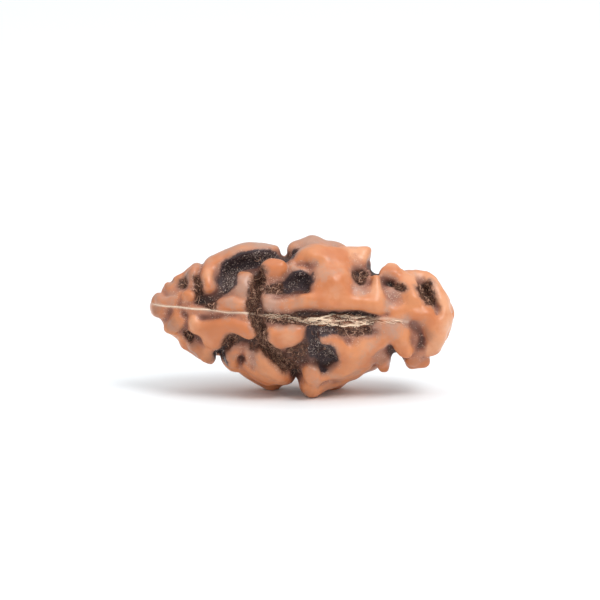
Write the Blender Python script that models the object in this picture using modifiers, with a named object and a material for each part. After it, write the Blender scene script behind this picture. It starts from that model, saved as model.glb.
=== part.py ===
"""One mukhi rudraksha: a single-seamed, half-moon seed stone, one solid lying on three small flats.

Metres, +Z up. The long axis runs along X, the pointed tip is at -X, and the seam side faces -Y.
The origin is on the surface that the bead lies on, under the middle of its box.
"""

import math
import random

import bmesh
import bpy
from mathutils import Matrix, Vector

MM = 0.001

# Driving sizes of the stone
LENGTH = 25.3 * MM
SEAM_SIDE_DEPTH_RATIO = 0.88
FAR_SIDE_DEPTH_RATIO = 0.80
VALLEY_DEPTH = 1.55 * MM
ROLL_BACK = math.radians(10.0)
AXIS_HEIGHT = 6.45 * MM

# The crest outline along X, in mm: (x, lowest crest, highest crest) against the long axis.
# It tapers long and a little upward to the left tip, and ends bluntly at the right.
CREST_OUTLINE = [
    (-12.65, 0.7, 1.0), (-12.4, 0.1, 1.5), (-11.5, -1.0, 2.4), (-10.3, -2.0, 3.4), (-8.8, -3.3, 4.6),
    (-6.7, -4.3, 5.5), (-5.0, -4.8, 6.1), (-3.3, -5.6, 6.4), (-1.0, -6.1, 6.4), (1.0, -6.5, 6.7),
    (3.2, -5.8, 6.2), (5.2, -4.8, 5.8), (7.0, -4.5, 5.0), (8.8, -4.4, 4.2), (10.3, -4.2, 3.95),
    (11.4, -3.1, 3.4), (12.1, -2.2, 2.2), (12.5, -1.4, 0.9), (12.65, -0.4, 0.1),
]

# Ridges of the seam side, in mm. Each station is (x, height on the face, crest radius, rise
# above the crest outline), and the stations of one ridge are joined by a swept crest.
SEAM_SIDE_RIDGES = {
    "tip_upper": [(-12.0, 1.3, 0.6, 0.0), (-10.2, 1.5, 0.6, 0.0)],
    "tip_lower": [(-12.0, 0.4, 0.6, 0.0), (-11.4, 0.1, 0.6, -0.1)],
    "tip_knobs": [(-10.9, 2.5, 0.5, 0.0), (-10.0, 3.4, 0.5, 0.0)],
    "left_shoulder": [(-8.9, 3.7, 0.7, 0.0), (-9.3, 2.6, 0.6, -0.1), (-9.1, 1.7, 0.7, 0.0)],
    "left_bar": [(-7.6, 3.9, 0.8, 0.0), (-7.8, 2.6, 0.8, 0.1), (-8.3, 1.6, 0.6, -0.2)],
    "brow": [(-7.2, 4.7, 0.6, 0.0), (-5.2, 5.4, 0.7, 0.0), (-3.2, 5.7, 0.7, 0.0)],
    "pale_lobe": [(-4.8, 3.0, 0.7, -0.4), (-5.0, 1.9, 0.7, -0.3)],
    "left_pad": [(-6.2, 1.3, 0.6, 0.0), (-5.0, 1.4, 0.8, 0.0)],
    "ball": [(-2.7, 3.9, 0.9, 0.15), (-2.2, 3.9, 0.9, 0.15)],
    "crown": [(-0.5, 4.9, 1.0, 0.0), (1.0, 5.5, 1.1, 0.0), (2.6, 5.1, 1.2, 0.0), (5.2, 5.3, 0.9, 0.2)],
    "column": [(1.2, 4.6, 1.2, 0.0), (2.3, 3.4, 1.2, 0.0), (2.8, 2.2, 1.1, 0.0)],
    "column_side": [(3.7, 4.2, 1.0, 0.0), (3.5, 2.6, 1.0, 0.0)],
    "sill": [(-2.6, 1.1, 0.7, -0.3), (0.2, 1.4, 0.8, -0.1), (3.0, 1.5, 0.9, 0.0), (6.1, 1.2, 0.7, 0.0)],
    "tooth": [(6.4, 3.1, 0.4, 0.1), (6.3, 1.6, 0.7, 0.0)],
    "back_knob": [(7.3, 4.1, 0.8, -0.2), (8.0, 3.3, 0.8, -0.4)],
    "ring": [
        (8.6, 3.0, 0.9, -0.1), (10.1, 3.1, 0.9, 0.0), (11.2, 2.3, 0.9, 0.0), (11.7, 0.5, 0.9, 0.0),
        (11.6, -1.0, 0.9, 0.0), (11.1, -2.2, 1.0, 0.0), (10.3, -2.9, 0.8, 0.0),
    ],
    "ring_limb": [(8.8, 2.0, 1.0, 0.0), (9.6, 0.9, 0.9, 0.0), (11.0, 0.1, 0.9, 0.0)],
    "chin": [(9.2, -3.7, 0.7, 0.1), (10.1, -3.8, 0.8, 0.2)],
    "finger": [(7.0, -1.3, 0.7, 0.0), (8.3, -2.1, 0.7, 0.1), (8.8, -2.8, 0.6, 0.3)],
    "peg": [(6.7, -2.9, 0.7, -0.6), (7.0, -4.2, 0.6, 0.2)],
    "cheek_upper": [(1.9, -2.1, 0.7, 0.0), (4.0, -2.6, 1.2, 0.0), (6.3, -1.9, 1.1, 0.0)],
    "cheek_lower": [(2.2, -5.0, 0.9, 0.0), (3.8, -4.3, 1.2, 0.0), (5.2, -3.3, 1.2, 0.0)],
    "foot": [(0.9, -4.3, 0.8, 0.0), (0.9, -5.9, 0.8, 0.1)],
    "island": [(-2.4, -1.4, 0.7, 0.0), (-1.6, -1.8, 0.9, 0.0), (-0.4, -1.1, 0.8, 0.0)],
    "jowl": [(-3.9, -3.2, 0.7, -0.2), (-2.6, -4.8, 0.9, 0.0), (-1.5, -5.1, 0.8, 0.0)],
    "knuckle": [(-5.8, -2.8, 0.7, -0.4), (-5.8, -3.7, 0.7, -0.1)],
    "knuckle_side": [(-5.4, -4.0, 0.6, -0.2), (-3.9, -4.2, 0.6, -0.2)],
    "left_keel": [(-9.2, -2.5, 0.7, -0.2), (-7.8, -3.5, 0.7, 0.1)],
    "heart": [(-7.2, -1.6, 1.0, 0.1), (-6.3, -1.0, 1.0, 0.0), (-4.6, -1.1, 0.8, 0.0)],
    "lozenge": [(-9.4, -0.3, 0.6, 0.0), (-8.5, -1.0, 0.6, 0.0)],
    "left_flank": [(-10.5, 0.1, 0.6, -0.1), (-10.8, -1.0, 0.6, 0.1), (-10.1, -1.6, 0.5, 0.1)],
    "lip_left": [(-8.8, 0.2, 0.5, -0.4), (-4.6, -0.1, 0.5, -0.4)],
    "lip_right": [(5.6, -0.9, 0.6, -0.4), (7.6, -0.5, 0.6, -0.5), (9.2, -0.4, 0.6, -0.5)],
}

# Pits between the ridges of the seam side, in mm, with the same kind of station
SEAM_SIDE_PITS = {
    "pit_under_brow": [(-6.3, 2.7, 0.7, -0.4), (-6.3, 3.9, 0.7, -0.4), (-4.7, 4.5, 0.6, -0.4)],
    "pit_under_ball": [(-1.2, 2.9, 0.8, -0.6), (0.1, 2.9, 0.8, -0.6)],
    "pit_under_crown": [(5.0, 3.4, 0.8, -0.5), (4.9, 2.6, 0.5, -0.3)],
    "pit_in_ring": [(10.3, 2.0, 0.6, -0.4), (11.0, 1.4, 0.5, -0.4)],
    "pit_by_foot": [(0.8, -1.6, 0.6, -0.4), (1.3, -2.6, 0.8, -0.5), (2.2, -3.4, 0.9, -0.5)],
    "pit_by_chin": [(9.7, -0.8, 0.6, -0.4), (9.6, -1.8, 0.6, -0.4)],
    "channel_left": [(-4.0, 2.6, 0.5, -0.6), (-3.8, 0.4, 0.5, -0.6)],
    "channel_low": [(-4.0, -1.9, 0.5, -0.6), (-2.2, -3.3, 0.5, -0.6), (-0.4, -4.8, 0.4, -0.6)],
    "seam_band": [(0.2, 0.2, 0.5, -0.3), (3.5, 0.2, 0.5, -0.3), (7.0, 0.2, 0.4, -0.2)],
}

# Ridges of the underside, in mm. Each station is (place along X, place along Y, crest radius, height
# of its lowest point over the surface), and the stone lies where that height is 0.
UNDERSIDE_RIDGES = {
    "front_knob": [(0.9, -2.1, 1.0, 0.0)],
    "back_left": [(-5.2, 1.4, 0.9, 1.9), (-3.6, 1.6, 1.1, 0.75), (-2.5, 1.6, 1.25, 0.0)],
    "back_right": [(1.5, 1.5, 1.0, 0.5), (2.6, 1.6, 1.25, 0.0), (4.2, 1.5, 1.1, 1.0), (5.6, 1.3, 0.9, 1.6)],
}
REST_CUT = 0.18 * MM
ROOT_SHARE = 0.75

# The far side carries the same kind of ridges, grown by rule as winding lines
FAR_SIDE_SEED = 5
FAR_SIDE_TRIES = 1400
FAR_SIDE_SPACING = 1.7 * MM
FAR_SIDE_STEP = 0.5 * MM
FAR_SIDE_STEPS = (3, 12)
FAR_SIDE_TURN = 0.55
FAR_SIDE_ENDS = (-11.8 * MM, 12.0 * MM)
FAR_SIDE_ANGLES = (math.radians(76.0), math.radians(284.0))
FAR_SIDE_RADII = (0.72 * MM, 0.95 * MM)

# Fineness of the surface
STATION_STEP = 0.30 * MM
END_STEPS = 5
CREST_BEVEL_RESOLUTION = 3
SEGMENTS_ROUND = 64
VOXEL = 0.26 * MM
SMOOTH_FACTOR = 0.5
SMOOTH_PASSES = 1
KEPT_FACES = 0.25
MERGE_DISTANCE = 0.01 * MM
SMALLEST_REACH = 0.5

BEAD_NAME = "rudraksha_bead"
BEAD_COLOUR = (0.62, 0.27, 0.12, 1.0)
BEAD_ROUGHNESS = 0.5


def clear_scene():
    """Remove every object of the open scene."""
    for old in list(bpy.data.objects):
        bpy.data.objects.remove(old, do_unlink=True)


def new_collection(name):
    """Return a new collection linked to the scene."""
    collection = bpy.data.collections.new(name)
    bpy.context.scene.collection.children.link(collection)
    return collection


def section_at(x):
    """Return the middle and the half height of the crest outline at x, straight between its points."""
    rows = [(px * MM, low * MM, high * MM) for px, low, high in CREST_OUTLINE]
    x = max(rows[0][0], min(rows[-1][0], x))
    for (x0, low0, high0), (x1, low1, high1) in zip(rows, rows[1:]):
        if x0 <= x <= x1:
            share = (x - x0) / (x1 - x0)
            low = low0 + (low1 - low0) * share
            high = high0 + (high1 - high0) * share
            return (low + high) / 2, (high - low) / 2
    return 0.0, 0.0


def depth_ratio(cosine):
    """Return how deep the section is against its height, on the seam side or the far side."""
    return SEAM_SIDE_DEPTH_RATIO if cosine > 0 else FAR_SIDE_DEPTH_RATIO


def section_point(x, angle, reach):
    """Return the point at a reach from the middle of the section at x, at an angle up from the seam side."""
    middle, _ = section_at(x)
    cosine = math.cos(angle)
    return Vector((x, -reach * depth_ratio(cosine) * cosine, middle + reach * math.sin(angle)))


def seam_side_ball(station):
    """Return the centre and radius of the ball under one station of the seam side."""
    x, height, radius, rise = (value * MM for value in station)
    middle, half_height = section_at(x)
    reach = max(half_height - radius + rise, radius * SMALLEST_REACH)
    sine = max(-1.0, min(1.0, (height - middle) / reach))
    return section_point(x, math.asin(sine), reach), radius


def seam_side_line(stations):
    """Return the swept balls along the stations of one ridge or pit of the seam side."""
    return swept_balls([seam_side_ball(station) for station in stations])


def swept_balls(balls):
    """Return balls at short steps along the line through the given ones."""
    swept = []
    for (start, start_radius), (end, end_radius) in zip(balls, balls[1:]):
        steps = max(1, math.ceil((end - start).length / STATION_STEP))
        for step in range(steps):
            share = step / steps
            swept.append((start.lerp(end, share), start_radius + (end_radius - start_radius) * share))
    swept.append(balls[-1])
    return swept


def rooted(balls):
    """Return the line of balls again, one radius nearer to the long axis."""
    roots = []
    for centre, radius in balls:
        middle, _ = section_at(centre.x)
        inward = Vector((0.0, -centre.y, middle - centre.z)).normalized()
        roots.append((centre + inward * radius, radius))
    return roots


def round_end(centre, radius, outward):
    """Return the shrinking balls that close a crest with a half round end."""
    angles = [math.pi / 2 * step / END_STEPS for step in range(1, END_STEPS)]
    return [(centre + outward * radius * math.sin(a), radius * math.cos(a)) for a in angles]


def winding_ridge(dice, taken):
    """Return the balls of one winding ridge of the far side, up to where it meets the ends or others."""
    x, angle = dice.uniform(*FAR_SIDE_ENDS), dice.uniform(*FAR_SIDE_ANGLES)
    heading, radius = dice.uniform(0.0, math.tau), dice.uniform(*FAR_SIDE_RADII)
    steps = dice.randint(*FAR_SIDE_STEPS)
    turns = [dice.uniform(-FAR_SIDE_TURN, FAR_SIDE_TURN) for _ in range(FAR_SIDE_STEPS[1])]
    balls = []
    for turn in turns[:steps]:
        reach = section_at(x)[1] - radius
        on_side = FAR_SIDE_ENDS[0] < x < FAR_SIDE_ENDS[1] and FAR_SIDE_ANGLES[0] < angle < FAR_SIDE_ANGLES[1]
        if not on_side or reach < radius:
            break
        centre = section_point(x, angle, reach)
        if any((centre - other).length < FAR_SIDE_SPACING for other in taken):
            break
        balls.append((centre, radius))
        heading += turn
        x += FAR_SIDE_STEP * math.cos(heading)
        angle += FAR_SIDE_STEP * math.sin(heading) / reach
    return balls


def far_side_ridges():
    """Return the far side's ridges as lists of balls, grown by rule so that furrows stay between them."""
    dice = random.Random(FAR_SIDE_SEED)
    taken = []
    ridges = []
    for _ in range(FAR_SIDE_TRIES):
        ridge = winding_ridge(dice, taken)
        if ridge:
            ridges.append(ridge)
            taken += [centre for centre, _ in ridge]
    return ridges


def to_bead_frame(x, y, z):
    """Return a point given over the resting surface in the bead's own rolled frame."""
    lifted = Vector((x, y, z - AXIS_HEIGHT))
    return Matrix.Rotation(ROLL_BACK, 3, "X") @ lifted


def underside_lines():
    """Return the swept balls of the underside's ridges, and of their roots nearer to the long axis."""
    lines = []
    for ridge in UNDERSIDE_RIDGES.values():
        balls = []
        for x, y, radius, height in ridge:
            centre = to_bead_frame(x * MM, y * MM, (radius + height) * MM - REST_CUT)
            balls.append((centre, radius * MM))
        crest = swept_balls(balls)
        lines.append(crest)
        lines.append([(Vector((c.x, c.y * ROOT_SHARE, c.z * ROOT_SHARE)), radius) for c, radius in crest])
    return lines


def mesh_of(item):
    """Return an object's evaluated shape as a mesh, and remove the object."""
    graph = bpy.context.evaluated_depsgraph_get()
    mesh = bpy.data.meshes.new_from_object(item.evaluated_get(graph))
    bpy.data.objects.remove(item, do_unlink=True)
    return mesh


def core_mesh():
    """Return the closed body under the ridges: a turned outline, bent to the middle line and flattened."""
    halves = [(x * MM, (high - low) / 2 * MM - VALLEY_DEPTH) for x, low, high in CREST_OUTLINE]
    profile = [(x, height) for x, height in halves if height > 0.0]
    first, last = profile[0][0], profile[-1][0]
    profile = [(first - VALLEY_DEPTH / 2, 0.0), *profile, (last + VALLEY_DEPTH / 2, 0.0)]
    mesh = bpy.data.meshes.new("core_profile")
    edges = [(index, index + 1) for index in range(len(profile) - 1)]
    mesh.from_pydata([(x, 0.0, height) for x, height in profile], edges, [])
    turned = bpy.data.objects.new("core_profile", mesh)
    bpy.context.scene.collection.objects.link(turned)
    screw = turned.modifiers.new("turn", "SCREW")
    screw.axis = "X"
    screw.angle = math.tau
    screw.steps = SEGMENTS_ROUND
    screw.render_steps = SEGMENTS_ROUND
    screw.use_merge_vertices = True
    screw.merge_threshold = MERGE_DISTANCE
    solid = mesh_of(turned)
    for vertex in solid.vertices:
        vertex.co.y *= depth_ratio(-vertex.co.y)
        vertex.co.z += section_at(vertex.co.x)[0]
    return solid


def crest_curve(lines):
    """Return the mesh of round crests, one along each line of balls, as overlapping closed tubes."""
    curve = bpy.data.curves.new("crests", "CURVE")
    curve.dimensions = "3D"
    curve.bevel_depth = 1.0
    curve.bevel_resolution = CREST_BEVEL_RESOLUTION
    curve.use_fill_caps = True
    for balls in lines:
        ahead = (balls[1][0] - balls[0][0]).normalized() if len(balls) > 1 else Vector((1.0, 0.0, 0.0))
        onward = (balls[-1][0] - balls[-2][0]).normalized() if len(balls) > 1 else ahead
        line = round_end(*balls[0], -ahead)[::-1] + balls + round_end(*balls[-1], onward)
        spline = curve.splines.new("POLY")
        spline.points.add(len(line) - 1)
        for point, (centre, radius) in zip(spline.points, line):
            point.co = (*centre, 1.0)
            point.radius = radius
    drawn = bpy.data.objects.new("crests", curve)
    bpy.context.scene.collection.objects.link(drawn)
    mesh = mesh_of(drawn)
    bpy.data.curves.remove(curve)
    return mesh


def fused_mesh(name, meshes):
    """Return one mesh that holds several, each closed where its ends were capped."""
    shape = bmesh.new()
    for mesh in meshes:
        shape.from_mesh(mesh)
    bmesh.ops.remove_doubles(shape, verts=shape.verts, dist=MERGE_DISTANCE)
    bmesh.ops.recalc_face_normals(shape, faces=shape.faces)
    mesh = bpy.data.meshes.new(name)
    shape.to_mesh(mesh)
    shape.free()
    return mesh


def voxel_union(item, name):
    """Fuse an object's overlapping pieces into one even skin."""
    remesh = item.modifiers.new(name, "REMESH")
    remesh.mode = "VOXEL"
    remesh.voxel_size = VOXEL


def cut_with(item, cutter, name):
    """Cut an object with another one."""
    cut = item.modifiers.new(name, "BOOLEAN")
    cut.operation = "DIFFERENCE"
    cut.solver = "EXACT"
    cut.object = cutter


def pit_cutter(collection):
    """Return the cutter that deepens the pits of the seam side."""
    lines = [seam_side_line(pit) for pit in SEAM_SIDE_PITS.values()]
    cutter = bpy.data.objects.new("pit_cutter", fused_mesh("pit_cutter", [crest_curve(lines)]))
    collection.objects.link(cutter)
    voxel_union(cutter, "fuse")
    cutter.rotation_euler.x = -ROLL_BACK
    cutter.location.z = AXIS_HEIGHT
    cutter.hide_render = True
    cutter.display_type = "WIRE"
    return cutter


def floor_cutter(collection):
    """Return the block under the resting surface that makes the small flats."""
    bpy.ops.mesh.primitive_cube_add(size=2 * LENGTH, location=(0.0, 0.0, -LENGTH))
    cutter = bpy.context.object
    cutter.name = "floor_cutter"
    for home in list(cutter.users_collection):
        home.objects.unlink(cutter)
    collection.objects.link(cutter)
    cutter.hide_render = True
    cutter.display_type = "WIRE"
    return cutter


def centre_on_origin(item):
    """Move an object level so that the middle of its finished shape is over the origin."""
    bpy.context.view_layer.update()
    graph = bpy.context.evaluated_depsgraph_get()
    shape = item.evaluated_get(graph).to_mesh()
    places = [item.matrix_world @ vertex.co for vertex in shape.vertices]
    item.location.x -= (min(p.x for p in places) + max(p.x for p in places)) / 2
    item.location.y -= (min(p.y for p in places) + max(p.y for p in places)) / 2
    item.evaluated_get(graph).to_mesh_clear()


def stone_material():
    """Return the dry orange tan of the stone."""
    material = bpy.data.materials.new("seed_stone")
    material.use_nodes = True
    shader = material.node_tree.nodes["Principled BSDF"]
    shader.inputs["Base Color"].default_value = BEAD_COLOUR
    shader.inputs["Roughness"].default_value = BEAD_ROUGHNESS
    shader.inputs["Metallic"].default_value = 0.0
    return material


def make_bead(parts, cutters):
    """Return the bead: core and ridges fused, pitted and cut flat underneath."""
    crests = [seam_side_line(ridge) for ridge in SEAM_SIDE_RIDGES.values()]
    crests += [swept_balls(ridge) for ridge in far_side_ridges()]
    roots = [rooted(line) for line in crests]
    mesh = fused_mesh(BEAD_NAME, [core_mesh(), crest_curve(crests + roots + underside_lines())])
    bead = bpy.data.objects.new(BEAD_NAME, mesh)
    parts.objects.link(bead)
    bead.rotation_euler.x = -ROLL_BACK
    bead.location.z = AXIS_HEIGHT
    voxel_union(bead, "fuse")
    cut_with(bead, pit_cutter(cutters), "pits")
    voxel_union(bead, "even")
    smooth = bead.modifiers.new("soften", "SMOOTH")
    smooth.factor = SMOOTH_FACTOR
    smooth.iterations = SMOOTH_PASSES
    thin = bead.modifiers.new("thin", "DECIMATE")
    thin.ratio = KEPT_FACES
    cut_with(bead, floor_cutter(cutters), "flats")
    bead.data.materials.append(stone_material())
    bead.data.shade_smooth()
    centre_on_origin(bead)
    return bead


def main():
    """Build the stone."""
    clear_scene()
    parts = new_collection("one_mukhi_rudraksha")
    cutters = new_collection("cutters")
    make_bead(parts, cutters)


main()
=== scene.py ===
"""Looks of a one mukhi rudraksha: a furrowed, waxy orange seed stone lying on a pale table.

The stone's relief is made as a block of signed distances in mm, in the stone's own frame: x along
the long axis towards the blunt end, h up the seam side, d out of the seam side. Lobes are added to
a core, pits are carved out of it, and its zero surface is the skin. Dry fibres, a seam line and
bright grains are then laid on that skin.
"""

import logging
import math
import random
from dataclasses import dataclass, field
from enum import Enum

import bmesh
import bpy
import numpy as np
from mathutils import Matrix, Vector
from mathutils.bvhtree import BVHTree

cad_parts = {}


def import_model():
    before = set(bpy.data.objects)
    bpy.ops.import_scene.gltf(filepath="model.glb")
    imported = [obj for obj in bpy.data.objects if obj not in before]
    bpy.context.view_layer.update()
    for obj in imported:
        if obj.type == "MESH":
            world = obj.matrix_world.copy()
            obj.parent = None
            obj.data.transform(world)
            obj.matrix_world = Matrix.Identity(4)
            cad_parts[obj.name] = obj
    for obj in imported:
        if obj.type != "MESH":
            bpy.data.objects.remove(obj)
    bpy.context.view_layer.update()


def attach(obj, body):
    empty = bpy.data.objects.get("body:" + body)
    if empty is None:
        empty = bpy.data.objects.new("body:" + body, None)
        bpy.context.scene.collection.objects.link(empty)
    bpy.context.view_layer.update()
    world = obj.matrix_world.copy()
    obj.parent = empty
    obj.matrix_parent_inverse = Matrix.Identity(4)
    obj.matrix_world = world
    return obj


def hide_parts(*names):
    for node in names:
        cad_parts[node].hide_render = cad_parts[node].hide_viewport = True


LOG = logging.getLogger("rudraksha")

MM = 0.001
NODE = "rudraksha_bead"
BODY = "root"

Triple = tuple[float, float, float]
Station = tuple[float, float, float, float]
Colour = tuple[int, int, int]
Socket = bpy.types.NodeSocket


class Spread(Enum):
    """How the stations of a lobe or pit are filled."""

    RIDGE = "an open line from station to station"
    PAD = "a closed outline, filled and domed"


@dataclass(frozen=True)
class Shape:
    """A lobe, a valley floor or a pit.

    Each station is (x, h, radius, rise) in mm, where rise is how far the crest stands over the
    stone's outline, unless the table that holds the shape says otherwise.
    """

    spread: Spread
    stations: tuple[Station, ...]

    RIDGE_STEP = 0.18
    PAD_STEP = 0.30
    NEAREST = 0.13
    DOME_MIDDLE = 0.7

    def samples(self, dome: float = 0.0) -> np.ndarray:
        """Return closely spaced stations that fill the shape.

        Args:
            dome: extra rise in mm at the middle of a pad.

        Returns:
            An array of (x, h, radius, rise) rows.
        """
        rows = self._line() if self.spread is Spread.RIDGE else self._pad(dome)
        kept: list[np.ndarray] = []
        for row in rows:
            if all(math.dist(row[:2], other[:2]) > self.NEAREST for other in kept):
                kept.append(row)
        return np.array(kept)

    def _line(self) -> list[np.ndarray]:
        """Return rows along the open line.

        Returns:
            The rows, at most a ridge step apart.
        """
        places = [np.array(station) for station in self.stations]
        rows = []
        for start, end in zip(places, places[1:]):
            steps = max(1, math.ceil(math.dist(start[:2], end[:2]) / self.RIDGE_STEP))
            rows += [start + (end - start) * step / steps for step in range(steps)]
        return rows + [places[-1]]

    def _pad(self, dome: float) -> list[np.ndarray]:
        """Return rows over the filled outline, higher towards its middle.

        Args:
            dome: how far in mm the middle stands over the outline.

        Returns:
            The rows.
        """
        places = [np.array(station) for station in self.stations]
        middle = sum(places) / len(places)
        rows = []
        for start, end in zip(places, places[1:] + places[:1]):
            sides = ((start, end), (start, middle), (end, middle))
            longest = max(math.dist(a[:2], b[:2]) for a, b in sides)
            steps = max(1, math.ceil(longest / self.PAD_STEP))
            for first in range(steps + 1):
                for second in range(steps + 1 - first):
                    share, other = first / steps, second / steps
                    row = middle + (start - middle) * share + (end - middle) * other
                    row[3] += dome * (self.DOME_MIDDLE - (share + other) ** 2)
                    rows.append(row)
        return rows


def ridge(*stations: Station) -> Shape:
    """Return a shape along an open line of stations."""
    return Shape(Spread.RIDGE, stations)


def pad(*stations: Station) -> Shape:
    """Return a shape that fills a closed outline of stations."""
    return Shape(Spread.PAD, stations)


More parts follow.
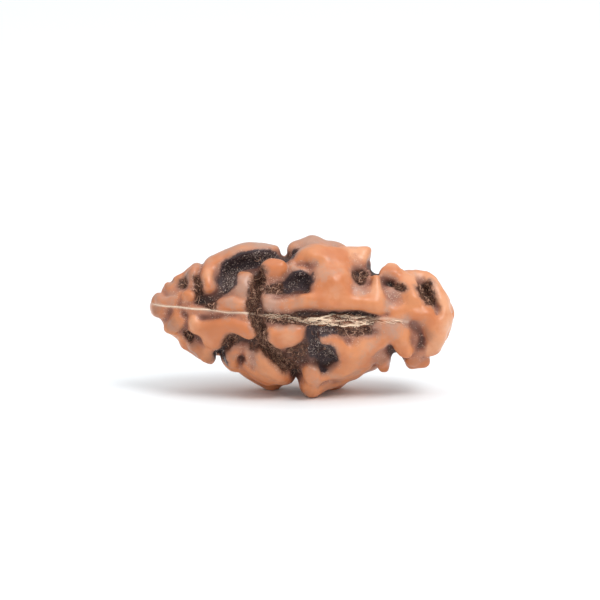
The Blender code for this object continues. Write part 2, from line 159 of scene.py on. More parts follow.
def seam_side_lobes() -> dict[str, Shape]:
    """List the raised, waxy lobes of the seam side, from the pointed tip to the blunt end.

    Returns:
        The lobes, by name.
    """
    return {
        "tip_upper": ridge((-12.1, 1.5, 0.5, 0), (-11.6, 1.5, 0.5, 0.05), (-10.1, 1.4, 0.5, -0.3)),
        "tip_lower": ridge((-12.15, 0.45, 0.5, -0.05), (-11.7, 0.35, 0.5, -0.1)),
        "tip_knob_low": ridge((-10.95, 2.5, 0.5, 0.05), (-10.6, 2.6, 0.5, 0)),
        "tip_knob_high": ridge((-10.3, 3.3, 0.45, 0.1), (-9.9, 3.4, 0.5, 0)),
        "pink_shoulder": pad(
            (-9.5, 3.7, 0.6, 0), (-8.75, 4.1, 0.6, 0), (-8.6, 3.3, 0.55, -0.1), (-9.2, 2.6, 0.55, -0.2),
            (-9.5, 2.9, 0.55, -0.2)),
        "bud": ridge((-9.5, 1.75, 0.6, -0.05), (-9.2, 1.8, 0.6, 0.05)),
        "thumb": ridge((-7.75, 3.85, 0.8, 0.02), (-7.75, 3.2, 0.88, 0.08), (-7.7, 2.75, 0.8, 0.12)),
        "grey_lobe": pad(
            (-5.5, 2.9, 0.5, -0.35), (-4.9, 3.35, 0.5, -0.35), (-4.2, 3.2, 0.5, -0.35),
            (-4.4, 2.0, 0.6, -0.3), (-5.3, 2.05, 0.6, -0.35)),
        "left_pad": pad(
            (-7.2, 0.75, 0.4, -0.3), (-6.2, 1.35, 0.5, -0.15), (-5.2, 1.6, 0.6, -0.1),
            (-5.0, 1.2, 0.55, -0.05), (-5.9, 0.95, 0.5, -0.1)),
        "ball": ridge((-2.95, 3.9, 0.6, 0.15), (-2.5, 4.1, 0.82, 0.25), (-1.95, 3.95, 0.7, 0.2)),
        "neck": pad(
            (-1.3, 3.85, 0.5, -0.45), (-0.7, 4.3, 0.5, -0.35), (0.1, 4.4, 0.5, -0.3),
            (0.5, 3.95, 0.5, -0.35), (-0.6, 3.7, 0.5, -0.45)),
        "crown": pad(
            (-0.35, 4.75, 0.6, -0.05), (0.3, 5.1, 0.7, 0), (1.2, 5.25, 0.8, 0), (2.3, 5.2, 0.8, 0),
            (3.35, 5.2, 0.85, 0), (3.35, 4.6, 0.75, 0), (0.9, 4.6, 0.65, 0)),
        "beak": ridge(
            (3.65, 5.1, 0.85, 0.1), (4.6, 5.1, 0.8, 0.15), (5.3, 5.25, 0.65, 0.35), (5.75, 5.4, 0.5, 0.4)),
        "face": pad(
            (1.75, 4.6, 0.8, 0), (3.6, 4.6, 0.8, 0), (3.65, 3.5, 0.75, 0), (3.6, 2.25, 0.75, 0),
            (3.65, 1.5, 0.75, 0), (1.75, 1.4, 0.75, 0), (1.7, 3.1, 0.75, 0)),
        "sill": ridge(
            (-2.6, 1.1, 0.6, -0.35), (-1.25, 1.15, 0.72, -0.2), (0.1, 1.15, 0.8, -0.1),
            (1.75, 1.15, 0.82, 0), (3.65, 1.2, 0.8, 0), (4.9, 1.1, 0.7, 0), (6.15, 1.1, 0.62, 0)),
        "tooth": ridge((6.35, 3.1, 0.4, 0.1), (6.3, 2.25, 0.55, 0.1), (6.15, 1.25, 0.65, 0)),
        "back_knob": pad((7.4, 4.1, 0.7, 0.3), (7.1, 3.5, 0.65, -0.35), (8.0, 3.25, 0.65, -0.4)),
        "ring_top": ridge(
            (8.25, 3.15, 0.75, -0.15), (9.1, 3.1, 0.85, -0.05), (10.25, 3.1, 0.85, 0), (10.9, 2.75, 0.8, 0),
            (11.35, 2.0, 0.75, 0), (11.5, 1.1, 0.75, 0), (11.6, -0.1, 0.85, 0)),
        "ring_limb": pad(
            (8.4, 2.65, 0.65, -0.15), (9.0, 2.75, 0.75, 0), (9.4, 1.85, 0.7, 0), (10.25, 0.65, 0.65, 0),
            (9.75, 0.5, 0.65, -0.1), (8.85, 1.0, 0.65, -0.1), (8.4, 1.75, 0.6, -0.25)),
        "right_end": pad(
            (10.55, -0.15, 0.75, -0.05), (11.6, -0.1, 0.85, 0), (11.6, -1.3, 0.85, 0),
            (11.3, -1.95, 0.9, 0.1), (10.85, -2.4, 0.85, 0.15), (10.6, -1.35, 0.7, 0)),
        "right_bridge": pad(
            (9.25, 0.35, 0.5, -0.15), (10.4, 0.25, 0.65, -0.1), (9.9, -0.4, 0.5, -0.4),
            (8.9, -0.25, 0.5, -0.35)),
        "chin": ridge((9.2, -3.6, 0.7, 0.1), (9.7, -3.85, 0.8, 0.25), (10.25, -3.75, 0.8, 0.25)),
        "dusty_shelf": pad(
            (6.75, -0.85, 0.5, -0.25), (8.1, -0.75, 0.55, -0.25), (8.9, -0.75, 0.5, -0.4),
            (8.4, -1.4, 0.6, -0.1), (7.1, -1.5, 0.6, -0.1)),
        "finger": ridge(
            (7.9, -1.4, 0.7, 0), (8.3, -2.1, 0.75, 0.1), (8.55, -2.6, 0.7, 0.2), (8.75, -2.8, 0.55, 0.3)),
        "peg": ridge((6.45, -2.85, 0.75, -0.3), (6.8, -3.7, 0.68, -0.1), (7.0, -4.3, 0.5, 0.25)),
        "nub": ridge((4.75, -4.4, 0.42, 0), (4.9, -4.7, 0.42, 0.1)),
        "cheek_tail": ridge((1.75, -1.6, 0.5, -0.1), (2.5, -2.15, 0.6, -0.05), (3.35, -2.85, 0.65, 0)),
        "cheek": pad(
            (3.75, -2.85, 0.8, 0), (5.1, -2.0, 0.8, 0), (6.6, -1.75, 0.75, 0), (6.4, -2.35, 0.75, 0),
            (5.5, -3.4, 0.8, 0), (4.4, -4.25, 0.8, 0), (3.6, -4.85, 0.85, 0), (3.25, -4.15, 0.75, 0),
            (3.65, -3.5, 0.75, 0)),
        "cheek_low": ridge((3.9, -4.75, 0.85, 0.1), (2.8, -5.3, 0.8, 0.1), (1.9, -5.5, 0.7, 0.05)),
        "cheek_under": ridge((1.2, -5.0, 0.6, 0), (2.2, -4.75, 0.6, 0), (3.1, -4.5, 0.7, 0)),
        "foot": pad(
            (0.7, -4.4, 0.6, 0), (1.15, -4.6, 0.6, 0), (1.05, -5.4, 0.7, 0.1), (0.85, -5.85, 0.7, 0.15),
            (0.75, -5.1, 0.65, 0)),
        "island": pad(
            (-2.45, -1.35, 0.6, 0), (-1.15, -1.15, 0.65, 0), (-0.4, -1.15, 0.6, 0), (-0.45, -1.4, 0.6, 0),
            (-1.1, -2.0, 0.65, 0.05), (-1.75, -2.15, 0.65, 0.05)),
        "jowl": pad(
            (-3.2, -3.15, 0.55, -0.15), (-2.7, -3.6, 0.7, -0.05), (-2.05, -4.2, 0.76, 0.05),
            (-1.5, -5.0, 0.75, 0.05), (-2.6, -5.1, 0.75, 0.05), (-3.3, -4.3, 0.65, -0.05)),
        "knuckle": pad((-6.1, -3.6, 0.65, -0.1), (-5.65, -3.65, 0.7, -0.05), (-5.75, -2.95, 0.65, -0.25)),
        "knuckle_side": ridge((-5.4, -3.9, 0.5, -0.3), (-4.5, -3.7, 0.5, -0.4), (-3.9, -4.2, 0.6, -0.3)),
        "knuckle_dip": ridge((-4.6, -3.0, 0.45, -0.55), (-4.2, -3.4, 0.45, -0.5)),
        "keel": pad(
            (-9.25, -2.35, 0.6, -0.15), (-8.4, -2.35, 0.6, -0.15), (-7.6, -2.75, 0.62, -0.05),
            (-7.7, -3.5, 0.65, 0.38), (-8.4, -3.1, 0.65, 0.1), (-9.15, -2.5, 0.6, -0.05)),
        "heart": pad(
            (-7.65, -0.9, 0.7, 0.1), (-6.85, -0.75, 0.75, 0.1), (-6.65, -1.4, 0.75, 0.1),
            (-7.15, -2.0, 0.75, 0.1), (-7.6, -1.75, 0.7, 0.1)),
        "heart_arm": ridge(
            (-6.9, -0.85, 0.75, 0.1), (-5.75, -0.65, 0.78, 0.05), (-4.8, -0.8, 0.7, 0),
            (-4.2, -1.1, 0.62, 0.05)),
        "lozenge": pad(
            (-9.4, -0.25, 0.6, 0), (-8.75, -0.35, 0.6, 0), (-8.25, -0.9, 0.6, 0), (-8.9, -0.85, 0.6, 0)),
        "flank": pad(
            (-10.85, 0.1, 0.6, -0.15), (-10.25, 0.1, 0.6, -0.15), (-10.0, -1.2, 0.55, -0.05),
            (-10.75, -1.1, 0.6, 0.1), (-10.95, -0.6, 0.6, 0.05)),
        "flank_low": ridge((-11.0, -1.0, 0.45, 0.3), (-10.1, -1.6, 0.5, 0.1), (-9.6, -2.2, 0.5, 0.05)),
        "seam_shelf": ridge(
            (-11.0, 0.85, 0.35, -0.45), (-9.25, 0.65, 0.4, -0.55), (-7.15, 0.35, 0.4, -0.6),
            (-5.1, 0.1, 0.4, -0.6), (-4.2, 0.0, 0.35, -0.75)),
    }


def seam_side_valleys() -> dict[str, Shape]:
    """List the valley floors of the seam side that stay shallow.

    Returns:
        The valleys, by name.
    """
    return {
        "tooth_valley": pad(
            (4.6, 2.7, 0.5, -0.5), (5.2, 2.5, 0.5, -0.6), (5.6, 1.8, 0.5, -0.35), (4.7, 1.6, 0.5, -0.3)),
        "grey_valley": pad(
            (7.1, 1.9, 0.5, -0.8), (7.9, 1.6, 0.5, -0.7), (7.9, 0.6, 0.5, -0.5), (7.0, 0.6, 0.5, -0.5)),
        "notch_floor": ridge((5.6, 3.4, 0.5, -0.5), (6.9, 3.55, 0.5, -0.5)),
        "beak_underside": pad((4.4, 4.4, 0.5, -0.45), (5.2, 4.8, 0.5, -0.3), (5.1, 4.2, 0.5, -0.6)),
        "dusty_slope": pad(
            (6.6, 0.7, 0.5, -0.35), (8.2, 0.6, 0.5, -0.3), (8.9, 0.0, 0.5, -0.35), (7.6, 0.1, 0.45, -0.5),
            (6.6, 0.3, 0.4, -0.5)),
        "left_slope": pad(
            (-9.6, 3.0, 0.5, -0.45), (-8.4, 3.9, 0.5, -0.35), (-8.1, 3.0, 0.5, -0.55),
            (-8.9, 1.9, 0.5, -0.5), (-9.8, 1.6, 0.5, -0.45)),
        "tip_slope": pad(
            (-11.0, 1.9, 0.4, -0.7), (-10.4, 2.2, 0.4, -0.7), (-10.0, 2.8, 0.4, -0.65),
            (-10.7, 1.6, 0.4, -0.6)),
        "right_floor": ridge((9.85, -0.9, 0.6, -0.45), (9.8, -2.3, 0.6, -0.55), (9.6, -3.0, 0.6, -0.5)),
        "fibre_patch": pad(
            (-3.0, 2.65, 0.5, -0.95), (-2.1, 2.75, 0.5, -0.95), (-2.4, 2.0, 0.5, -0.85),
            (-2.9, 2.0, 0.5, -0.85)),
        "ring_wall": ridge((11.2, 1.75, 0.5, -0.5), (11.3, 0.75, 0.5, -0.35), (11.2, 0.1, 0.5, -0.2)),
        "seam_bed": ridge(
            (-2.75, 0.0, 0.4, -1.0), (-0.1, -0.25, 0.4, -1.0), (2.4, -0.3, 0.45, -0.95),
            (4.5, -0.35, 0.45, -0.85), (6.4, -0.4, 0.4, -0.6), (7.8, -0.2, 0.4, -0.4)),
        "cheek_valley": pad((3.4, -1.3, 0.4, -1.0), (4.9, -1.05, 0.4, -0.9), (4.25, -1.6, 0.4, -0.7)),
        "heart_floor": ridge((-5.6, -1.9, 0.45, -0.8), (-5.2, -2.6, 0.45, -0.8)),
        "arm_floor": ridge((-5.1, -2.6, 0.45, -0.65), (-4.4, -2.6, 0.45, -0.65)),
    }


def rim_notches() -> dict[str, Shape]:
    """List the notches in the outline, with stations as the rim's lobes have.

    Returns:
        The notches, by name.
    """
    return {
        "notch_beak": ridge(
            (5.95, 4.6, 0.15, -0.3), (6.3, 6.2, 0.3, -0.3), (6.6, 7.8, 0.4, -0.35), (6.2, 9.3, 0.4, -0.3),
            (6.9, 10.8, 0.4, -0.2)),
        "brow_fold_left": ridge((-6.8, 9.4, 0.12, 0.4), (-7.0, 10.6, 0.2, 0.1), (-6.6, 11.8, 0.2, 0.0)),
        "brow_fold_middle": ridge((-4.5, 9.3, 0.12, 0.45), (-4.7, 10.2, 0.18, 0.2), (-4.0, 11.4, 0.2, 0.0)),
        "crown_fold_left": ridge((0.6, 9.4, 0.14, 0.4), (0.2, 10.3, 0.2, 0.1), (0.6, 11.6, 0.2, 0.0)),
        "crown_fold_middle": ridge((2.0, 9.3, 0.13, 0.4), (2.3, 10.2, 0.2, 0.1), (1.6, 11.4, 0.2, 0.0)),
        "crown_fold_right": ridge((3.9, 9.2, 0.12, 0.45), (4.3, 10.0, 0.17, 0.2), (3.9, 11.2, 0.2, 0.0)),
        "ring_fold": ridge((9.6, 9.4, 0.12, 0.45), (9.8, 10.4, 0.18, 0.1)),
        "end_fold_high": ridge(
            (11.2, 10.5, 0.12, 0.35), (11.8, 12.5, 0.16, 0.15), (11.9, 15.5, 0.16, 0.15)),
        "end_fold_low": ridge(
            (10.9, -10.0, 0.12, 0.35), (11.6, -12.0, 0.16, 0.15), (11.5, -15.0, 0.15, 0.15)),
        "notch_brow": ridge((-1.35, 6.4, 0.3, -0.1), (-1.4, 8.0, 0.35, -0.1), (-1.4, 10.5, 0.4, -0.1)),
    }


def end_furrows() -> dict[str, Shape]:
    """List the furrows of the blunt end, as (d, h, radius, depth under the skin).

    Returns:
        The furrows, by name.
    """
    return {
        "end_middle": ridge(
            (0.6, 2.4, 0.2, 0.2), (0.1, 1.2, 0.26, 0.3), (0.7, -0.2, 0.24, 0.25), (-0.1, -1.6, 0.26, 0.3),
            (0.3, -2.8, 0.2, 0.15)),
        "end_back": ridge(
            (-1.0, 2.4, 0.2, 0.2), (-1.8, 0.9, 0.26, 0.3), (-1.1, -0.4, 0.22, 0.2), (-2.0, -1.8, 0.26, 0.3),
            (-1.3, -3.0, 0.2, 0.15)),
        "end_link_high": ridge((0.1, 1.2, 0.22, 0.2), (-0.9, 1.7, 0.2, 0.15), (-1.8, 0.9, 0.22, 0.2)),
        "end_link_low": ridge((-0.1, -1.6, 0.22, 0.2), (-1.0, -2.3, 0.2, 0.15), (-2.0, -1.8, 0.22, 0.2)),
        "end_front": ridge((1.5, -1.4, 0.14, 0.1), (1.1, -2.3, 0.18, 0.2), (0.3, -2.8, 0.2, 0.2)),
        "end_front_high": ridge((1.8, 0.5, 0.14, 0.1), (1.2, 0.1, 0.16, 0.2), (0.7, -0.2, 0.2, 0.2)),
    }


def clean_pits() -> dict[str, Shape]:
    """List the hollows that hold no soil.

    Returns:
        The pits, by name.
    """
    return {
        "right_valley": ridge(
            (9.3, -0.5, 0.4, 0.5), (9.85, -1.1, 0.45, 0.3), (10.1, -1.9, 0.5, 0.25),
            (10.0, -2.7, 0.45, 0.25)),
        "ring_trough": ridge((11.1, 1.3, 0.4, 0.25), (11.4, 0.7, 0.4, 0.35), (11.4, 0.1, 0.35, 0.55)),
        "shoulder_dip": ridge((-8.4, 4.6, 0.15, -0.1), (-8.45, 3.9, 0.15, -0.3), (-8.5, 3.4, 0.15, -0.35)),
        "knob_dip": ridge((6.85, 3.2, 0.14, -0.2), (7.0, 2.4, 0.16, 0.0)),
        "crease_heart": ridge((-8.3, -0.1, 0.13, 0.0), (-7.6, 0.05, 0.13, -0.1), (-6.9, -0.05, 0.11, 0.0)),
        "crease_arm": ridge((-6.6, 0.15, 0.11, -0.1), (-5.6, 0.1, 0.12, -0.1), (-4.6, -0.2, 0.11, 0.0)),
        "crease_lozenge": ridge((-9.9, 0.3, 0.11, 0.0), (-9.5, 0.0, 0.12, 0.0), (-9.6, -0.8, 0.12, 0.0)),
        "crease_flank": ridge((-10.5, -1.7, 0.12, 0.1), (-9.9, -1.2, 0.12, 0.0)),
        "crease_keel": ridge((-8.9, -2.2, 0.1, 0.0), (-8.3, -2.6, 0.1, 0.15), (-8.1, -3.1, 0.1, 0.2)),
        "crease_pad": ridge((-6.4, 1.9, 0.12, -0.1), (-5.8, 2.0, 0.13, -0.15), (-5.0, 1.75, 0.1, 0.0)),
        "crease_sill": ridge((-2.3, 1.75, 0.12, -0.1), (-1.2, 1.9, 0.1, 0.0), (-0.4, 1.8, 0.1, 0.05)),
        "crease_crown": ridge((-0.3, 4.4, 0.14, 0.0), (0.5, 4.6, 0.12, 0.05), (1.0, 4.3, 0.1, 0.1)),
        "crease_tip": ridge((-11.6, 2.3, 0.14, 0.0), (-11.2, 2.0, 0.14, 0.05), (-10.6, 1.9, 0.12, 0.1)),
        "crease_knobs": ridge((-10.9, 3.3, 0.14, 0.0), (-10.5, 2.9, 0.13, 0.05), (-10.1, 2.6, 0.12, 0.0)),
        "crease_knob_high": ridge((-10.0, 4.0, 0.14, 0.0), (-9.8, 3.4, 0.13, 0.0), (-9.7, 2.8, 0.12, -0.1)),
        "crease_bud": ridge((-9.9, 2.35, 0.12, 0.05), (-9.3, 2.35, 0.12, 0.05), (-8.8, 2.3, 0.12, 0.0)),
        "crease_tip_low": ridge(
            (-11.5, -0.35, 0.15, 0.0), (-11.2, 0.1, 0.13, 0.05), (-11.0, 0.6, 0.12, 0.1)),
        "crease_tip_side": ridge((-10.3, 1.0, 0.12, 0.05), (-10.1, 1.9, 0.12, 0.1)),
        "crease_knuckle": ridge(
            (-4.3, -2.2, 0.12, -0.35), (-4.65, -2.8, 0.11, -0.2), (-4.95, -3.5, 0.11, -0.15),
            (-5.15, -4.2, 0.12, -0.1)),
        "crease_ball": ridge((-1.35, 4.5, 0.2, 0.0), (-1.25, 3.9, 0.2, -0.1)),
        "seam_crack": ridge(
            (-0.4, 0.15, 0.12, -0.6), (1.25, 0.3, 0.15, -0.9), (2.6, 0.35, 0.17, -0.95),
            (4.25, 0.3, 0.16, -0.9), (5.75, 0.2, 0.15, -0.7), (7.25, 0.25, 0.1, -0.3)),
    }


def sooty_pits() -> dict[str, Shape]:
    """List the pits with a black purple, grainy floor.

    Returns:
        The pits, by name.
    """
    return {
        "pit_brow_side": ridge((-6.05, 2.6, 0.45, -0.6), (-6.2, 3.3, 0.6, -0.45), (-5.95, 4.0, 0.65, -0.4)),
        "pit_brow": ridge(
            (-5.9, 4.1, 0.6, -0.4), (-4.9, 4.5, 0.6, -0.4), (-3.8, 4.75, 0.55, -0.4),
            (-2.8, 5.15, 0.35, -0.4), (-2.1, 5.3, 0.3, -0.4), (-1.5, 5.1, 0.3, -0.5)),
        "pit_middle": ridge((-1.3, 2.6, 0.35, -0.5), (-0.7, 2.9, 0.5, -0.5), (0.25, 3.05, 0.68, -0.4)),
        "slit": ridge((0.85, -0.75, 0.35, -0.5), (0.85, -1.6, 0.4, -0.5), (1.0, -2.35, 0.5, -0.5)),
        "oval": pad(
            (1.5, -2.75, 0.45, -0.5), (2.15, -2.8, 0.5, -0.5), (2.45, -3.3, 0.5, -0.5),
            (2.1, -3.65, 0.4, -0.4), (1.5, -3.2, 0.4, -0.4)),
        "oval_side": pad(
            (0.65, -2.65, 0.3, -0.6), (1.2, -2.3, 0.35, -0.6), (1.4, -3.1, 0.35, -0.55),
            (0.8, -3.2, 0.3, -0.5)),
        "slit_side": ridge((1.1, -0.8, 0.3, -0.5), (2.0, -1.05, 0.25, -0.45), (2.9, -1.2, 0.18, -0.3)),
        "crown_pocket": ridge((-0.95, 5.0, 0.25, -0.4), (-0.5, 5.45, 0.2, -0.4)),
        "crease": ridge((1.9, -3.9, 0.25, -0.3), (2.0, -4.5, 0.12, -0.1)),
        "gap_left": ridge((-6.85, -2.75, 0.3, -0.6), (-6.75, -3.25, 0.3, -0.6)),
    }


def fibrous_pits() -> dict[str, Shape]:
    """List the pits, channels and cracks that hold dry brown pulp fibre.

    Returns:
        The pits, by name.
    """
    return {
        "grain_hollow": pad(
            (-0.7, -2.9, 0.3, -0.55), (0.1, -2.6, 0.3, -0.55), (0.0, -3.2, 0.3, -0.5),
            (-0.45, -3.6, 0.3, -0.5)),
        "pit_beak": pad((4.7, 3.5, 0.32, -0.5), (5.15, 3.65, 0.32, -0.5), (4.95, 3.15, 0.28, -0.4)),
        "pit_ring": pad(
            (10.15, 2.15, 0.28, -0.45), (10.7, 2.4, 0.33, -0.45), (10.8, 1.4, 0.3, -0.4),
            (10.5, 1.65, 0.28, -0.4)),
        "pit_knob": ridge((7.7, 2.7, 0.06, -0.1), (8.05, 2.4, 0.16, -0.35), (8.45, 2.4, 0.14, -0.3)),
        "channel_up": ridge(
            (-3.3, 3.6, 0.28, -0.7), (-3.6, 2.7, 0.34, -0.75), (-4.0, 1.8, 0.32, -0.75),
            (-4.15, 1.1, 0.28, -0.7), (-3.8, 0.3, 0.38, -0.7)),
        "fibre_nest": ridge((-2.8, 2.4, 0.22, -0.45), (-1.8, 2.5, 0.28, -0.5)),
        "channel_down": ridge(
            (-3.55, -0.4, 0.34, -0.7), (-3.15, -1.2, 0.26, -0.8), (-3.3, -2.1, 0.34, -0.8),
            (-2.1, -3.0, 0.34, -0.8), (-1.15, -3.8, 0.36, -0.8), (-0.6, -4.35, 0.27, -0.7)),
        "channel_bay": ridge((-3.5, -2.0, 0.25, -0.6), (-3.9, -2.55, 0.22, -0.5)),
        "crack_left": ridge((-8.55, 2.2, 0.14, -0.45), (-8.3, 1.5, 0.2, -0.45), (-7.6, 0.95, 0.26, -0.4)),
        "crack_shoulder": ridge((-8.8, 3.1, 0.08, -0.35), (-8.55, 2.5, 0.14, -0.35)),
        "cheek_furrow": ridge((3.3, -1.3, 0.2, -0.45), (4.3, -1.25, 0.22, -0.4), (5.5, -1.05, 0.12, -0.2)),
        "heart_pit": ridge((-6.25, -2.35, 0.22, -0.5), (-5.9, -2.0, 0.24, -0.5), (-5.4, -1.95, 0.2, -0.4)),
        "pin_hole": ridge((-9.6, -1.5, 0.15, -0.45), (-9.25, -1.85, 0.15, -0.45)),
        "tiny_hole": ridge((-9.95, 3.1, 0.1, -0.25), (-9.9, 2.75, 0.1, -0.25)),
        "seam_bed_left": ridge((-3.0, 0.15, 0.2, -0.45), (-0.1, -0.15, 0.25, -0.45)),
        "seam_bed": ridge(
            (0.2, -0.3, 0.3, -0.35), (2.6, -0.35, 0.38, -0.3), (4.2, -0.35, 0.34, -0.2),
            (5.6, -0.3, 0.15, -0.15)),
    }


# The seam's (x, h) places.
SEAM_LINE = (
    (-12.6, 1.1), (-11.2, 0.9), (-9.65, 0.75), (-8.2, 0.65), (-6.15, 0.4), (-4.3, 0.3), (-3.0, 0.1),
    (-1.1, -0.1), (0.75, -0.4), (2.4, -0.2), (4.5, -0.1), (6.4, -0.1), (7.4, -0.15), (8.85, -0.4),
)


def bloom_and_sheen_patches() -> tuple[Station, ...]:
    """List where mauve dusty bloom and painted sheen lie, as (x, h, radius, strength) over the seam side.

    Returns:
        The patches.
    """
    # painted sheen: the patches high on the brow and crown stand for sheen on tops that turn away
    return (
        (-7.4, 4.9, 0.9, 1.0), (-6.0, 5.5, 1.0, 1.0), (-4.6, 5.7, 1.0, 1.0), (-3.2, 5.8, 0.9, 1.0),
        (-9.0, 3.5, 0.9, 0.7), (-9.9, 2.4, 0.6, 0.5), (-4.7, 2.6, 1.1, 1.0), (-2.6, 1.0, 1.0, 0.9),
        (-1.4, 1.1, 0.8, 0.6), (-0.2, 5.6, 0.9, 1.0), (0.9, 6.1, 1.0, 1.0), (2.2, 6.0, 0.8, 0.9),
        (5.0, -0.9, 0.7, 0.5), (6.4, -0.7, 0.7, 0.7), (7.6, -0.9, 0.9, 0.9), (8.7, -0.4, 0.7, 0.8),
        (7.1, 1.0, 0.7, 0.8), (7.6, 2.2, 0.9, 0.7), (7.2, 3.3, 0.8, 0.7), (4.9, 4.3, 0.7, 0.6),
        (-4.1, -3.0, 0.8, 0.8), (-0.6, 4.0, 0.6, 0.8), (-10.3, -1.6, 0.7, 0.5), (-4.8, -3.7, 0.5, 0.6),
        (-8.2, 5.2, 1.4, 0.9), (-5.4, 6.2, 1.6, 1.0), (-3.6, 6.4, 1.6, 1.0), (-2.2, 6.0, 1.0, 0.9),
        (0.0, 6.4, 1.2, 1.0), (1.2, 6.9, 1.6, 1.0), (2.6, 6.5, 1.1, 0.9), (2.8, -5.6, 0.8, 0.6),
        (6.9, -3.3, 0.6, 0.5), (4.9, 2.2, 0.7, 0.8), (-8.2, 0.1, 0.5, 0.7), (-6.2, -0.1, 0.5, 0.7),
        (7.2, 2.9, 0.7, 0.9), (11.2, 0.6, 0.5, 0.7), (9.5, -0.6, 0.6, 0.8), (-8.9, -3.0, 0.7, 0.5),
        (3.0, -1.4, 0.6, 0.5), (11.2, 1.5, 0.5, 0.5), (-7.0, 0.4, 0.5, 0.4), (-5.4, 0.2, 0.6, 0.5),
        (-1.7, -0.8, 0.5, 0.9), (-0.7, -0.8, 0.5, 0.9), (-0.3, 1.2, 0.8, 0.7), (0.9, 1.0, 0.7, 0.5),
        (-9.6, 1.9, 0.6, 0.5), (-10.8, 2.6, 0.6, 0.8), (-7.7, 4.2, 0.6, 0.7), (6.1, 0.9, 0.6, 0.6),
        (10.0, 0.2, 0.7, 0.5), (-3.9, -3.8, 0.6, 0.7), (-6.3, -3.0, 0.5, 0.5), (3.2, 5.9, 0.7, 0.6),
        (4.4, -4.6, 0.5, 0.5),
    )


def umber_patches() -> tuple[Station, ...]:
    """List where the wax is browner, mostly low and at the pointed tip, as (x, h, radius, strength) over
    the seam side.

    Returns:
        The patches.
    """
    return (
        (-10.6, -0.5, 0.9, 0.8), (-8.6, -2.7, 1.1, 0.7), (-7.7, -3.1, 0.8, 0.7), (9.6, -3.6, 1.0, 0.6),
        (6.9, -3.3, 0.9, 1.0), (-5.8, -3.4, 0.8, 0.5), (10.0, -1.5, 0.9, 0.9), (-12.1, 1.4, 0.8, 0.6),
        (-12.0, 0.4, 0.7, 0.8), (-10.8, 2.6, 0.6, 0.7), (11.3, 0.7, 0.5, 0.7), (3.0, -5.5, 0.8, 0.6),
    )


def painted_light_patches() -> tuple[Station, ...]:
    """List where painted light makes the crests paler and pinker, as (x, h, radius, strength) over the seam
    side.

    Returns:
        The patches.
    """
    # painted light: most patches lie on the upper right and the blunt end, where the key light falls
    return (
        (2.6, 3.4, 1.4, 0.45), (2.8, 1.9, 1.2, 0.5), (4.6, 5.2, 1.0, 1.0), (5.3, 5.4, 0.6, 1.0),
        (6.3, 2.2, 0.9, 0.7), (7.4, 4.3, 0.8, 1.0), (9.6, 3.2, 1.2, 0.7), (11.0, 2.6, 1.0, 0.8),
        (11.7, 1.0, 1.0, 1.0), (11.8, -0.6, 1.1, 1.0), (11.4, -1.8, 1.0, 1.0), (10.6, -2.6, 0.9, 0.7),
        (5.6, -2.2, 1.1, 0.5), (-7.7, 3.4, 0.8, 0.6), (-9.0, 3.6, 0.7, 0.4), (-1.0, -1.5, 0.8, 0.7),
        (-8.9, -0.4, 0.7, 0.7),
    )


def rim_lobes() -> dict[str, Shape]:
    """List the lobes along the rim, as (x, tens of degrees up from the seam side, radius, rise).

    Returns:
        The lobes, by name.
    """
    return {
        "brow": pad(
            (-8.5, 7.9, 0.6, -0.1), (-7.6, 6.9, 0.6, -0.05), (-6.4, 6.5, 0.6, 0), (-5.0, 6.5, 0.62, 0),
            (-3.9, 6.7, 0.6, 0), (-2.9, 7.4, 0.55, -0.05), (-2.3, 8.5, 0.5, -0.15), (-3.0, 9.6, 0.6, 0),
            (-5.0, 9.8, 0.65, 0), (-7.2, 9.4, 0.6, 0), (-8.5, 8.7, 0.6, -0.1)),
        "crown_back": pad(
            (-0.9, 8.3, 0.6, -0.25), (0.3, 7.5, 0.65, -0.2), (1.5, 7.3, 0.65, -0.15), (2.5, 7.8, 0.6, -0.2),
            (3.0, 8.9, 0.65, -0.2), (2.4, 9.8, 0.8, -0.05), (1.2, 10.0, 0.8, 0), (-0.2, 9.6, 0.7, -0.15)),
        "top_right": ridge((9.0, 8.8, 0.8, -0.1), (10.4, 9.6, 0.8, -0.05)),
        "cheek_hem": ridge((1.9, -7.3, 0.65, -0.2), (3.2, -7.2, 0.7, -0.15), (4.6, -7.1, 0.6, -0.2)),
        "under_cheek": ridge((2.2, -8.2, 0.7, -0.3), (3.8, -8.4, 0.8, -0.3), (5.2, -8.2, 0.7, -0.3)),
        "under_jowl": ridge((-4.4, -8.2, 0.6, -0.2), (-2.6, -8.3, 0.7, -0.1)),
    }


def underside_ridges() -> dict[str, Shape]:
    """List the ridges that the stone lies on, as (x, y, radius, height over the floor).

    Returns:
        The ridges, by name.
    """
    return {
        "front_knob": ridge((0.9, -2.1, 1.0, 0)),
        "back_left": ridge((-5.2, 1.4, 0.9, 1.9), (-3.6, 1.6, 1.1, 0.75), (-2.5, 1.6, 1.25, 0)),
        "back_right": ridge(
            (1.5, 1.5, 1.0, 0.5), (2.6, 1.6, 1.25, 0), (4.2, 1.5, 1.1, 1.0), (5.6, 1.3, 0.9, 1.6)),
    }


